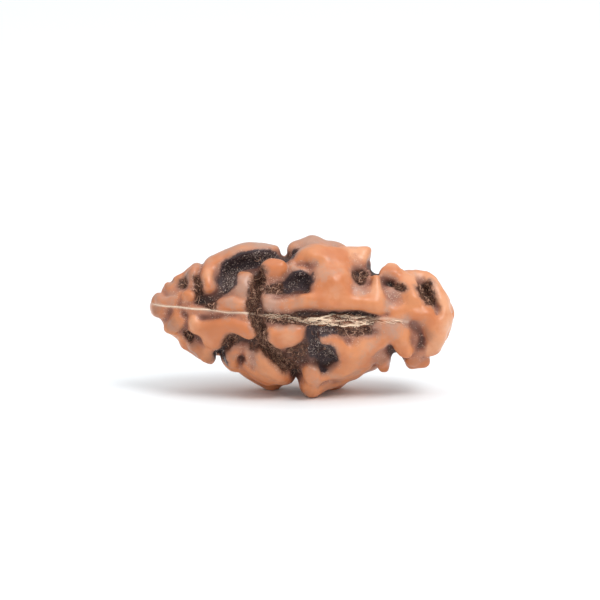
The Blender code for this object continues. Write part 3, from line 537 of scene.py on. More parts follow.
@dataclass(frozen=True)
class CrestOutline:
    """The smooth outline that the crests of the stone reach: a bent, flattened spindle.

    Each row is (x, lowest h, highest h) in mm.
    """

    rows: tuple[Triple, ...] = (
        (-12.65, 0.7, 1.0), (-12.4, 0.1, 1.5), (-11.5, -1.0, 2.4), (-10.3, -2.0, 3.4), (-8.8, -3.3, 4.6),
        (-6.7, -4.3, 5.5), (-5.0, -4.8, 6.1), (-3.3, -5.6, 6.4), (-1.0, -6.1, 6.4), (1.0, -6.5, 6.7),
        (3.2, -5.8, 6.2), (5.2, -4.8, 5.8), (7.0, -4.5, 5.0), (8.8, -4.4, 4.2), (10.3, -4.2, 3.95),
        (11.4, -3.1, 3.4), (12.1, -2.2, 2.2), (12.5, -1.4, 0.9), (12.65, -0.4, 0.1),
    )
    seam_side_ratio: float = 0.88
    far_side_ratio: float = 0.80
    least_reach: float = 0.3

    def middle(self, x: np.ndarray) -> np.ndarray:
        """Return the height of the long axis at x."""
        along, low, high = np.array(self.rows).T
        return (np.interp(x, along, low) + np.interp(x, along, high)) / 2

    def half(self, x: np.ndarray) -> np.ndarray:
        """Return half the outline's height at x."""
        along, low, high = np.array(self.rows).T
        return (np.interp(x, along, high) - np.interp(x, along, low)) / 2

    def ratio(self, depth: np.ndarray) -> np.ndarray:
        """Return how deep the section is against its height, by the side that depth is on."""
        return np.where(depth > 0, self.seam_side_ratio, self.far_side_ratio)

    def below(self, points: np.ndarray) -> np.ndarray:
        """Return how far points lie under the outline.

        Args:
            points: places in the stone's frame, with x, h, d last.

        Returns:
            Distances in mm, negative outside.
        """
        x, h, d = points[..., 0], points[..., 1], points[..., 2]
        reach = np.sqrt((h - self.middle(x)) ** 2 + (d / self.ratio(d)) ** 2)
        return self.half(x) - reach

    def around(self, x: np.ndarray, angle: np.ndarray, inset: np.ndarray) -> np.ndarray:
        """Return points under the outline.

        Args:
            x: where they are along the stone.
            angle: in radians, up from the seam side.
            inset: how far under the outline they are, in mm.

        Returns:
            The points in the stone's frame.
        """
        reach = np.maximum(self.half(x) - inset, self.least_reach)
        cosine = np.cos(angle)
        depth = reach * self.ratio(cosine) * cosine
        return np.stack([x, self.middle(x) + reach * np.sin(angle), depth], -1)

    def under_face(self, rows: np.ndarray) -> tuple[np.ndarray, np.ndarray]:
        """Return the ball centres and radii under stations of the seam side.

        Args:
            rows: (x, h, radius, rise) rows.

        Returns:
            The centres in the stone's frame, and the radii.
        """
        x, h, radius, rise = rows.T
        reach = np.maximum(self.half(x) - radius + rise, self.least_reach)
        sine = np.clip((h - self.middle(x)) / reach, -0.999, 0.999)
        return self.around(x, np.arcsin(sine), radius - rise), radius

    def inward(self, points: np.ndarray, straight: float) -> np.ndarray:
        """Return unit vectors from points into the stone.

        Args:
            points: places in the stone's frame.
            straight: 0 to aim at the long axis, more to turn towards straight in from the seam side.

        Returns:
            One unit vector for each point.
        """
        aim = np.stack([np.zeros(len(points)), self.middle(points[:, 0]) - points[:, 1], -points[:, 2]], 1)
        aim /= np.maximum(np.linalg.norm(aim, axis=1, keepdims=True), 1e-6)
        aim[:, 2] -= straight
        return aim / np.linalg.norm(aim, axis=1, keepdims=True)


def smooth_least(first: np.ndarray, second: np.ndarray, width: float) -> np.ndarray:
    """Return the smaller of two distance fields, rounded over a width where they meet."""
    share = np.clip(0.5 + 0.5 * (second - first) / width, 0, 1)
    return second + (first - second) * share - width * share * (1 - share)


def segment_distance(points: np.ndarray, start: np.ndarray, end: np.ndarray,
                     radius: float, foot: float) -> np.ndarray:
    """Return distances to a round post.

    Args:
        points: where to measure, with x, h, d last.
        start: the post's outer end.
        end: its inner end.
        radius: its radius at the outer end.
        foot: its radius at the inner end.

    Returns:
        Signed distances, negative inside.
    """
    along = end - start
    share = np.clip(((points - start) @ along) / max(float(along @ along), 1e-9), 0, 1)
    away = points - start - share[..., None] * along
    return np.sqrt((away * away).sum(-1)) - (radius + share * (foot - radius))


class ReliefBlock:
    """An even grid of signed distances in mm, negative inside the stone."""

    FAR = 9.0
    MARGIN = 0.7

    def __init__(self, low: Triple, high: Triple, cell: float) -> None:
        """Make an empty block between two corners.

        Args:
            low: the lower corner, in mm.
            high: the upper corner.
            cell: the grid's spacing.
        """
        self.cell = cell
        self.low = np.array(low)
        self.count = np.ceil((np.array(high) - self.low) / cell).astype(int) + 1
        self.distance = np.full(self.count, self.FAR, np.float32)
        self.axes = [self.low[i] + cell * np.arange(self.count[i]) for i in range(3)]
        self.bent: np.ndarray | None = None

    def bend(self, warps: tuple[tuple[float, float], ...]) -> None:
        """Shift where shapes are measured by smooth wanderings.

        Args:
            warps: the (size, reach) of each wandering, in mm.
        """
        self.bent = np.zeros((*self.count, 3), np.float32)
        for number, (size, reach) in enumerate(warps):
            for axis in range(3):
                self.bent[..., axis] += reach * self.noise(size, 20 + 3 * number + axis)

    def unbend(self) -> None:
        """Measure shapes straight again."""
        self.bent = None

    def window(self, low: np.ndarray, high: np.ndarray) -> tuple[tuple[slice, ...], np.ndarray]:
        """Find a part of the block.

        Args:
            low: the part's lower corner.
            high: its upper corner.

        Returns:
            The slices of the part, and its grid points, shifted while the block is bent.
        """
        first = np.maximum(np.floor((low - self.low) / self.cell).astype(int), 0)
        last = np.minimum(np.ceil((high - self.low) / self.cell).astype(int) + 1, self.count)
        cut = tuple(slice(a, b) for a, b in zip(first, last))
        mesh = np.meshgrid(*[self.axes[i][cut[i]] for i in range(3)], indexing="ij")
        points = np.stack(mesh, -1).astype(np.float32)
        return cut, points if self.bent is None else points + self.bent[cut]

    def everywhere(self) -> np.ndarray:
        """Return the grid points of the whole block."""
        return self.window(self.low, self.low + self.count * self.cell)[1]

    def posts(self, outer: np.ndarray, inner: np.ndarray, radii: np.ndarray, foot: float) -> tuple:
        """Return the distances to a crowd of round posts.

        Args:
            outer: their outer ends.
            inner: their inner ends.
            radii: their radii at the outer ends.
            foot: the radius at the inner end against that at the outer end.

        Returns:
            The slices of the window that holds them, and the distances in it.
        """
        margin = radii.max() * max(1.0, foot) + self.MARGIN
        low = np.minimum(outer, inner).min(0) - margin
        high = np.maximum(outer, inner).max(0) + margin
        cut, points = self.window(low, high)
        distance = np.full(points.shape[:-1], self.FAR, np.float32)
        corner = np.array([self.axes[i][cut[i].start] for i in range(3)])
        for start, end, radius in zip(outer, inner, radii):
            near = radius * max(1.0, foot) + self.MARGIN
            first = np.floor((np.minimum(start, end) - near - corner) / self.cell).astype(int).clip(0)
            last = np.ceil((np.maximum(start, end) + near - corner) / self.cell).astype(int) + 1
            part = tuple(slice(a, b) for a, b in zip(first, last))
            if distance[part].size:
                post = segment_distance(points[part], start.astype(np.float32), end.astype(np.float32),
                                        radius, radius * foot)
                distance[part] = np.minimum(distance[part], post)
        return cut, distance

    def add(self, cut: tuple, distance: np.ndarray, width: float) -> None:
        """Join a shape to the stone, rounded over a width."""
        self.distance[cut] = smooth_least(self.distance[cut], distance, width)

    def carve(self, cut: tuple, distance: np.ndarray, width: float) -> None:
        """Cut a shape out of the stone, rounded over a width."""
        self.distance[cut] = -smooth_least(-self.distance[cut], distance, width)

    def noise(self, size: float, seed: int) -> np.ndarray:
        """Return smooth noise over the block.

        Args:
            size: how wide its lumps are, in mm.
            seed: which noise.

        Returns:
            Values from -1 to 1.
        """
        dice = np.random.default_rng(seed)
        knots = np.ceil(self.count * self.cell / size).astype(int) + 2
        values = dice.uniform(-1, 1, knots).astype(np.float32)
        for axis in range(3):
            place = np.arange(self.count[axis]) * self.cell / size
            index = np.floor(place).astype(int)
            share = place - index
            share = share * share * (3 - 2 * share)
            spread = np.zeros((self.count[axis], knots[axis]), np.float32)
            spread[np.arange(len(index)), index] = 1 - share
            spread[np.arange(len(index)), index + 1] += share
            values = np.moveaxis(np.tensordot(spread, values, axes=(1, axis)), 0, axis)
        return values

    def blurred(self, values: np.ndarray, sigma: float) -> np.ndarray:
        """Blur values by a Gaussian.

        Args:
            values: one for each grid point.
            sigma: the Gaussian's width in mm.

        Returns:
            The blurred values.
        """
        for axis in range(3):
            place = np.arange(values.shape[axis]) * self.cell / sigma
            weight = np.exp(-0.5 * (place[:, None] - place[None]) ** 2).astype(np.float32)
            weight /= weight.sum(1, keepdims=True)
            values = np.moveaxis(np.tensordot(weight, values, axes=(1, axis)), 0, axis)
        return values

    def sampled(self, values: np.ndarray, points: np.ndarray) -> np.ndarray:
        """Read grid values between the grid points.

        Args:
            values: one for each grid point.
            points: where to read, as (x, h, d) rows.

        Returns:
            One value for each row.
        """
        place = (points - self.low) / self.cell
        index = np.clip(np.floor(place).astype(int), 0, np.array(values.shape) - 2)
        share = place - index
        total = np.zeros(len(points))
        for corner in np.ndindex(2, 2, 2):
            weight = np.prod(np.where(corner, share, 1 - share), axis=1)
            total += weight * values[tuple((index + corner).T)]
        return total

    def surface(self) -> tuple[np.ndarray, np.ndarray]:
        """Draw the zero surface, with one point in each cell that it crosses.

        Returns:
            The points, and quads of their numbers.
        """
        inside = self.distance < 0
        wide, tall, deep = np.array(inside.shape) - 1
        corners = np.stack([inside[i:wide + i, j:tall + j, k:deep + k] for i, j, k in np.ndindex(2, 2, 2)])
        crossed = corners.any(0) & ~corners.all(0)
        cells = np.argwhere(crossed)
        number = np.full(crossed.shape, -1, np.int64)
        number[crossed] = np.arange(len(cells))
        return self._cell_points(cells), self._cell_quads(inside, number)

    def _cell_points(self, cells: np.ndarray) -> np.ndarray:
        """Return the mean of the crossings on each cell's edges.

        Args:
            cells: the grid indices of each cell's lower corner.

        Returns:
            One point for each cell.
        """
        total = np.zeros((len(cells), 3))
        hits = np.zeros(len(cells))
        for axis in range(3):
            others = [other for other in range(3) if other != axis]
            for first, second in np.ndindex(2, 2):
                near = np.zeros(3, int)
                near[others[0]], near[others[1]] = first, second
                far = near.copy()
                far[axis] = 1
                start = self.distance[tuple((cells + near).T)]
                end = self.distance[tuple((cells + far).T)]
                cross = (start < 0) != (end < 0)
                point = np.repeat(near[None].astype(float), len(cells), 0)
                point[:, axis] = np.where(cross, start / np.where(cross, start - end, 1), 0)
                total += point * cross[:, None]
                hits += cross
        return self.low + self.cell * (cells + total / hits[:, None])

    @staticmethod
    def _cell_quads(inside: np.ndarray, number: np.ndarray) -> np.ndarray:
        """Return a quad of cell numbers round each grid edge that the surface crosses.

        Args:
            inside: whether each grid point is in the stone.
            number: the number of each cell's point, or -1.

        Returns:
            One row of four numbers for each quad.
        """
        quads = []
        for axis in range(3):
            others = [other for other in range(3) if other != axis]
            lower = [slice(1, -1)] * 3
            upper = [slice(1, -1)] * 3
            lower[axis], upper[axis] = slice(0, -1), slice(1, None)
            starts_inside = inside[tuple(lower)]
            cross = starts_inside != inside[tuple(upper)]
            edges = np.argwhere(cross)
            edges[:, others] += 1
            turned = starts_inside[cross] != (axis == 1)
            ring = []
            for back in ((-1, -1), (0, -1), (0, 0), (-1, 0)):
                cell = edges.copy()
                cell[:, others] += back
                ring.append(number[tuple(cell.T)])
            quad = np.stack(ring, 1)
            quad[~turned] = quad[~turned][:, ::-1]
            quads.append(quad)
        return np.concatenate(quads)


class StoneFrame:
    """Where the stone lies in the row frame: rolled back about its long axis, resting on the floor."""

    ROLL_BACK = math.radians(10.0)
    AXIS_HEIGHT = 6.45
    CENTRE_SHIFT = (-0.11, 0.12)

    def to_row(self, points: np.ndarray) -> np.ndarray:
        """Turn points into the row frame.

        Args:
            points: places in the stone's frame, in mm.

        Returns:
            The same places in the row frame, in metres.
        """
        x, h, d = points[..., 0], points[..., 1], points[..., 2]
        sine, cosine = math.sin(self.ROLL_BACK), math.cos(self.ROLL_BACK)
        placed = [x + self.CENTRE_SHIFT[0], h * sine - d * cosine + self.CENTRE_SHIFT[1],
                  h * cosine + d * sine + self.AXIS_HEIGHT]
        return np.stack(placed, -1) * MM

    def from_row(self, x: float, y: float, z: float) -> np.ndarray:
        """Turn a place into the stone's frame.

        Args:
            x: how far along it is, in mm.
            y: how far back it is.
            z: how high it is.

        Returns:
            The point in the stone's frame, in mm.
        """
        y, z = y - self.CENTRE_SHIFT[1], z - self.AXIS_HEIGHT
        sine, cosine = math.sin(self.ROLL_BACK), math.cos(self.ROLL_BACK)
        return np.array([x - self.CENTRE_SHIFT[0], y * sine + z * cosine, z * sine - y * cosine])

    def over_floor(self, points: np.ndarray) -> np.ndarray:
        """Return how high points of the stone's frame are over the floor, in mm."""
        return self.to_row(points)[..., 2] / MM


def mesh_object(name: str, points: np.ndarray, faces: np.ndarray,
                material: bpy.types.Material) -> bpy.types.Object:
    """Make a smooth object from points in metres and faces that all have the same number of corners.

    Args:
        name: the piece's name.
        points: one row for each point.
        faces: one row of point numbers for each face.
        material: its finish.

    Returns:
        The object, linked to the scene.
    """
    mesh = bpy.data.meshes.new(name)
    mesh.vertices.add(len(points))
    mesh.vertices.foreach_set("co", points.astype(np.float32).ravel())
    mesh.loops.add(faces.size)
    mesh.loops.foreach_set("vertex_index", faces.astype(np.int32).ravel())
    mesh.polygons.add(len(faces))
    mesh.polygons.foreach_set("loop_start", np.arange(len(faces), dtype=np.int32) * faces.shape[1])
    mesh.update()
    mesh.validate()
    mesh.shade_smooth()
    mesh.materials.append(material)
    item = bpy.data.objects.new(name, mesh)
    bpy.context.scene.collection.objects.link(item)
    return item


def set_attribute(item: bpy.types.Object, name: str, values: np.ndarray) -> None:
    """Store one number for each point of an object's mesh."""
    layer = item.data.attributes.new(name, "FLOAT", "POINT")
    layer.data.foreach_set("value", values.astype(np.float32))


class Recipe:
    """A material under way: short calls that add its nodes and join them."""

    MIX_FIRST = 6
    MIX_SECOND = 7
    MIX_RESULT = 2

    def __init__(self, name: str) -> None:
        """Start a material.

        Args:
            name: the material's name.
        """
        self.material = bpy.data.materials.new(name)
        self.material.use_nodes = True
        self.tree = self.material.node_tree
        self.shader = self.tree.nodes["Principled BSDF"]
        place = self.add("ShaderNodeTexCoord", {}, "Object")
        self.place = self.add("ShaderNodeMapping", {"Vector": place, "Scale": (1 / MM,) * 3}, "Vector")

    def join(self, value: object, socket: Socket) -> None:
        """Give a socket its value.

        Args:
            value: another node's output, or a number or colour.
            socket: the socket that takes it.
        """
        if isinstance(value, Socket):
            self.tree.links.new(value, socket)
        else:
            socket.default_value = value

    def set(self, name: str, value: object) -> None:
        """Give one of the shader's own sockets its value."""
        self.join(value, self.shader.inputs[name])

    def add(self, kind: str, values: dict[int | str, object], output: int | str,
            **settings: object) -> Socket:
        """Add a node.

        Args:
            kind: the node's type.
            values: what its inputs take.
            output: which of its outputs is wanted.
            settings: its properties, by name.

        Returns:
            That output.
        """
        made = self.tree.nodes.new(kind)
        for name, setting in settings.items():
            setattr(made, name, setting)
        for name, value in values.items():
            self.join(value, made.inputs[name])
        return made.outputs[output]

    def attribute(self, name: str) -> Socket:
        """Read a number stored on the mesh's points."""
        return self.add("ShaderNodeAttribute", {}, "Fac", attribute_name=name)

    def math(self, operation: str, first: object, second: object) -> Socket:
        """Add a sum, a product or the like."""
        return self.add("ShaderNodeMath", {0: first, 1: second}, 0, operation=operation)

    def noise(self, size: float, detail: float = 2.0, rough: float = 0.5, warp: float = 0.0) -> Socket:
        """Add soft noise from 0 to 1 with lumps of a size in mm."""
        values = {"Scale": 1 / size, "Detail": detail, "Roughness": rough, "Distortion": warp}
        return self.add("ShaderNodeTexNoise", {"Vector": self.place, **values}, "Fac")

    def cells(self, size: float) -> Socket:
        """Add a pattern of cells of a size in mm, read as how far a place is from a cell's middle."""
        return self.add("ShaderNodeTexVoronoi", {"Vector": self.place, "Scale": 1 / size}, "Distance")

    def shaky(self, value: object, noise: Socket, reach: float) -> Socket:
        """Return a value moved up or down by a noise, by as much as a reach."""
        centred = self.math("SUBTRACT", noise, 0.5)
        return self.math("ADD", value, self.math("MULTIPLY", centred, 2 * reach))

    def step(self, value: object, start: float, end: float, top: float = 1.0) -> Socket:
        """Return a value that goes smoothly from 0 at start to top at end."""
        values = dict(enumerate((value, start, end, 0.0, top)))
        return self.add("ShaderNodeMapRange", values, 0, interpolation_type="SMOOTHSTEP")

    def mix(self, share: object, first: object, second: object) -> Socket:
        """Return a colour between two."""
        values = {0: share, self.MIX_FIRST: first, self.MIX_SECOND: second}
        return self.add("ShaderNodeMix", values, self.MIX_RESULT, data_type="RGBA")

    def ramp(self, value: object, *stops: tuple[float, Colour]) -> Socket:
        """Read a colour from a ramp.

        Args:
            value: where to read it.
            stops: the ramp's (place, colour) pairs, in order.

        Returns:
            The colour.
        """
        colour = self.add("ShaderNodeValToRGB", {"Fac": value}, "Color")
        elements = colour.node.color_ramp.elements
        elements.remove(elements[1])
        elements[0].position = stops[0][0]
        elements[0].color = paint(stops[0][1])
        for place, shade in stops[1:]:
            elements.new(place).color = paint(shade)
        return colour

    def bump(self, height: object, reach: float, strength: float) -> None:
        """Roughen the surface by a height from 0 to 1 that stands for a reach in mm."""
        values = {"Strength": strength, "Distance": reach * MM, "Height": height}
        self.set("Normal", self.add("ShaderNodeBump", values, "Normal"))


def paint(colour: Colour) -> tuple[float, float, float, float]:
    """Turn a colour as seen into the values that light adds up in.

    Args:
        colour: its red, green and blue, from 0 to 255.

    Returns:
        Its red, green, blue and alpha, from 0 to 1.
    """
    seen = [level / 255 for level in colour]
    red, green, blue = (s / 12.92 if s <= 0.04045 else ((s + 0.055) / 1.055) ** 2.4 for s in seen)
    return red, green, blue, 1.0


@dataclass(frozen=True)
class StoneFinish:
    """Waxy orange crests, dusty pink slopes, sooty pits and brown fibrous ones, with painted light and
    shade.
    """

    crest: Colour = (198, 119, 74)
    crest_pale: Colour = (211, 137, 91)
    # painted light: the crest colour where the key light falls
    crest_painted_lit: Colour = (225, 163, 124)
    shoulder: Colour = (178, 116, 88)
    # slope, valley and deep darken the furrows: partly the stone's own tone, partly painted shade
    slope: Colour = (140, 88, 70)
    valley: Colour = (84, 48, 37)
    deep: Colour = (42, 25, 21)
    # partly dusty bloom, partly painted sheen on the brow and crown tops
    bloom_and_sheen: Colour = (178, 140, 122)
    bloom_and_sheen_deep: Colour = (146, 104, 90)
    umber: Colour = (150, 98, 72)
    # halo: mauve rims round the pits, partly mauve bloom and partly painted shade where the edge rolls in
    halo: Colour = (160, 116, 98)
    soot: Colour = (62, 46, 48)
    # pale grit with painted glints in the sooty pits
    soot_grit_and_glint: Colour = (150, 130, 124)
    peat: Colour = (62, 36, 27)
    peat_dust: Colour = (128, 86, 64)
    cream: Colour = (222, 192, 170)
    crest_roughness: float = 0.34
    slope_roughness: float = 0.62
    gloss: float = 0.45
    grain_size: float = 0.20
    patch_size: float = 0.65
    cloud_size: float = 2.6
    worn_size: float = 3.4
    pit_bump_size: float = 0.14
    pit_bump_reach: float = 0.10

    def material(self) -> bpy.types.Material:
        """Return the finish as a material.

        Returns:
            The material, which reads the marks on the skin's points.
        """
        mix = Recipe("seed_stone_waxy")
        grain = mix.noise(self.grain_size, 3.0, 0.65)
        patch = mix.noise(self.patch_size, 3.0, 0.6, 0.3)
        cloud = mix.noise(self.cloud_size, 3.0, 0.55)
        sunk = mix.math("MULTIPLY", mix.math("SUBTRACT", mix.attribute("cavity"), 0.5), 2.2)
        sunk = mix.math("ADD", mix.attribute("depth"), sunk)
        sunk = mix.shaky(mix.shaky(sunk, patch, 0.28), grain, 0.12)
        colour = self._wax_painted_light_and_shade(mix, cloud, patch, sunk)
        colour = self._dust_and_sheen(mix, colour, grain, patch, sunk)
        colour, pitted = self._soil(mix, colour, grain, patch)
        seam = mix.step(mix.shaky(mix.attribute("seam"), grain, 0.10), 0.20, 0.02)
        seam = mix.math("MULTIPLY", seam, 0.45)
        mix.set("Base Color", mix.mix(seam, colour, paint(self.cream)))
        rough = mix.math("MAXIMUM", mix.step(sunk, 0.1, 0.8, self.slope_roughness), self.crest_roughness)
        mix.set("Roughness", mix.shaky(rough, grain, 0.08))
        rise = mix.math("ADD", mix.math("MULTIPLY", pitted, 0.75), mix.step(sunk, 0.2, 1.0, 0.25))
        height = mix.math("MULTIPLY", mix.noise(self.pit_bump_size, 3.0, 0.65), rise)
        mix.bump(height, self.pit_bump_reach, 0.6)
        mix.set("Specular IOR Level", self.gloss)
        return mix.material

    def _wax_painted_light_and_shade(self, mix: Recipe, cloud: Socket, patch: Socket, sunk: Socket) -> Socket:
        """Return the stone's colour, crests to furrows: partly its own tone, partly painted light and
        shade.

        Args:
            mix: the material under way.
            cloud: broad noise.
            patch: middling noise.
            sunk: how far a place lies under the crests.

        Returns:
            The colour.
        """
        colour = mix.mix(mix.step(cloud, 0.38, 0.62), paint(self.crest), paint(self.crest_pale))
        # painted light: paler, pinker crests where the key light falls
        painted_light = mix.step(mix.shaky(mix.attribute("painted_light"), patch, 0.2), 0.2, 0.8, 0.9)
        colour = mix.mix(painted_light, colour, paint(self.crest_painted_lit))
        umber = mix.step(mix.shaky(mix.attribute("umber"), patch, 0.25), 0.25, 0.85, 0.8)
        colour = mix.mix(umber, colour, paint(self.umber))
        colour = mix.mix(mix.step(patch, 0.50, 0.66, 0.16), colour, paint(self.shoulder))
        # darker down the furrows by depth and cavity: partly the stone's own browner tone, partly painted
        # shade
        colour = mix.mix(mix.step(sunk, 0.05, 0.5, 0.85), colour, paint(self.shoulder))
        colour = mix.mix(mix.step(sunk, 0.4, 0.95), colour, paint(self.slope))
        colour = mix.mix(mix.step(sunk, 0.8, 1.4), colour, paint(self.valley))
        return mix.mix(mix.step(sunk, 1.3, 2.0), colour, paint(self.deep))

    def _dust_and_sheen(self, mix: Recipe, colour: Socket, grain: Socket, patch: Socket, sunk: Socket) -> Socket:
        """Return the colour under pale bloom and painted sheen, dark rims round the pits and fine cream
        dust.

        Args:
            mix: the material under way.
            colour: the stone's own colour.
            grain: fine noise.
            patch: middling noise.
            sunk: how far a place lies under the crests.

        Returns:
            The dusted colour.
        """
        # pale bloom: partly dusty bloom, partly painted sheen on the brow and crown tops
        worn = mix.step(mix.noise(self.worn_size, 2.0, 0.5), 0.48, 0.7, 0.65)
        bloom_and_sheen = mix.math("MAXIMUM", mix.attribute("bloom_and_sheen"), worn)
        bloom_and_sheen = mix.step(mix.shaky(mix.shaky(bloom_and_sheen, patch, 0.35), grain, 0.25), 0.25, 0.95, 0.85)
        bloom_and_sheen = mix.math("MULTIPLY", bloom_and_sheen, mix.step(sunk, 1.9, 1.1))
        pale = mix.mix(mix.step(sunk, 0.2, 1.1), paint(self.bloom_and_sheen), paint(self.bloom_and_sheen_deep))
        colour = mix.mix(bloom_and_sheen, colour, pale)
        # mauve rims round the pits: partly mauve bloom, partly painted shade where the edge rolls into the
        # pit
        near_pit = mix.math("MINIMUM", mix.attribute("soot"), mix.attribute("peat"))
        halo = mix.step(mix.shaky(near_pit, patch, 0.3), 0.68, 0.35, 0.55)
        halo = mix.math("MULTIPLY", halo, mix.step(sunk, 1.5, 0.9))
        colour = mix.mix(halo, colour, paint(self.halo))
        specks = mix.step(mix.cells(0.15), 0.36, 0.16)
        dust = mix.math("MULTIPLY", specks, mix.step(patch, 0.42, 0.58))
        near = mix.math("MAXIMUM", mix.step(sunk, -0.15, 0.5, 0.65), mix.math("MULTIPLY", halo, 1.2))
        return mix.mix(mix.math("MULTIPLY", dust, near), colour, paint(self.cream))

    def _soil(self, mix: Recipe, colour: Socket, grain: Socket, patch: Socket) -> tuple[Socket, Socket]:
        """Put soot and peat in the pits.

        Args:
            mix: the material under way.
            colour: the dusted colour.
            grain: fine noise.
            patch: middling noise.

        Returns:
            The soiled colour, and how far a place is soiled.
        """
        soot = mix.step(mix.shaky(mix.shaky(mix.attribute("soot"), patch, 0.22), grain, 0.12), 0.40, 0.18)
        # pale grit specks with painted glints on the soot
        glints = mix.step(mix.cells(0.11), 0.3, 0.1)
        glints = mix.math("MULTIPLY", glints, mix.step(grain, 0.48, 0.6))
        colour = mix.mix(soot, colour, mix.mix(glints, paint(self.soot), paint(self.soot_grit_and_glint)))
        peat = mix.step(mix.shaky(mix.shaky(mix.attribute("peat"), patch, 0.25), grain, 0.12), 0.42, 0.12)
        earthy = mix.mix(mix.step(grain, 0.42, 0.62), paint(self.peat), paint(self.peat_dust))
        return mix.mix(peat, colour, earthy), mix.math("MAXIMUM", soot, peat)


@dataclass(frozen=True)
class FibreFinish:
    """Dry plant fibre, paler where it is worn."""

    name: str
    dark: Colour
    pale: Colour
    roughness: float = 0.7
    gloss: float = 0.3

    def material(self) -> bpy.types.Material:
        """Return the finish as a material.

        Returns:
            The material, which reads each fibre's tone.
        """
        mix = Recipe(self.name)
        tone = mix.shaky(mix.attribute("tone"), mix.noise(0.3, 3.0, 0.6), 0.35)
        mix.set("Base Color", mix.mix(mix.step(tone, 0.1, 0.9), paint(self.dark), paint(self.pale)))
        mix.set("Roughness", self.roughness)
        mix.set("Specular IOR Level", self.gloss)
        mix.bump(mix.noise(0.05, 2.0), 0.01, 0.4)
        return mix.material


@dataclass(frozen=True)
class GrainFinish:
    """Sandy crumbs, from soot black or peat brown to bright."""

    soot: tuple[Colour, Colour, Colour] = ((48, 36, 38), (120, 96, 90), (226, 206, 194))
    peat: tuple[Colour, Colour, Colour] = ((70, 40, 30), (126, 84, 64), (206, 166, 136))
    stops: Triple = (0.0, 0.55, 0.9)
    roughness: float = 0.35

    def material(self) -> bpy.types.Material:
        """Return the finish as a material.

        Returns:
            The material, which reads each crumb's tone and whether it is earth.
        """
        mix = Recipe("pit_grain")
        tone = mix.shaky(mix.attribute("tone"), mix.noise(0.1, 2.0), 0.15)
        gritty, earthy = (mix.ramp(tone, *zip(self.stops, colours)) for colours in (self.soot, self.peat))
        mix.set("Base Color", mix.mix(mix.attribute("earth"), gritty, earthy))
        mix.set("Roughness", self.roughness)
        return mix.material


@dataclass(frozen=True)
class FloorFinish:
    """A plain white table top."""

    colour: Colour = (247, 252, 255)
    roughness: float = 0.6
    gloss: float = 0.2

    def material(self) -> bpy.types.Material:
        """Return the finish as a material.

        Returns:
            The material.
        """
        mix = Recipe("table_top_white")
        mix.set("Base Color", paint(self.colour))
        mix.set("Roughness", self.roughness)
        mix.set("Specular IOR Level", self.gloss)
        return mix.material


@dataclass(frozen=True)
class Gouge:
    """How far a cut reaches out from and in past its centres, in mm, and its foot against its mouth."""

    outward: float
    depth: float
    foot: float


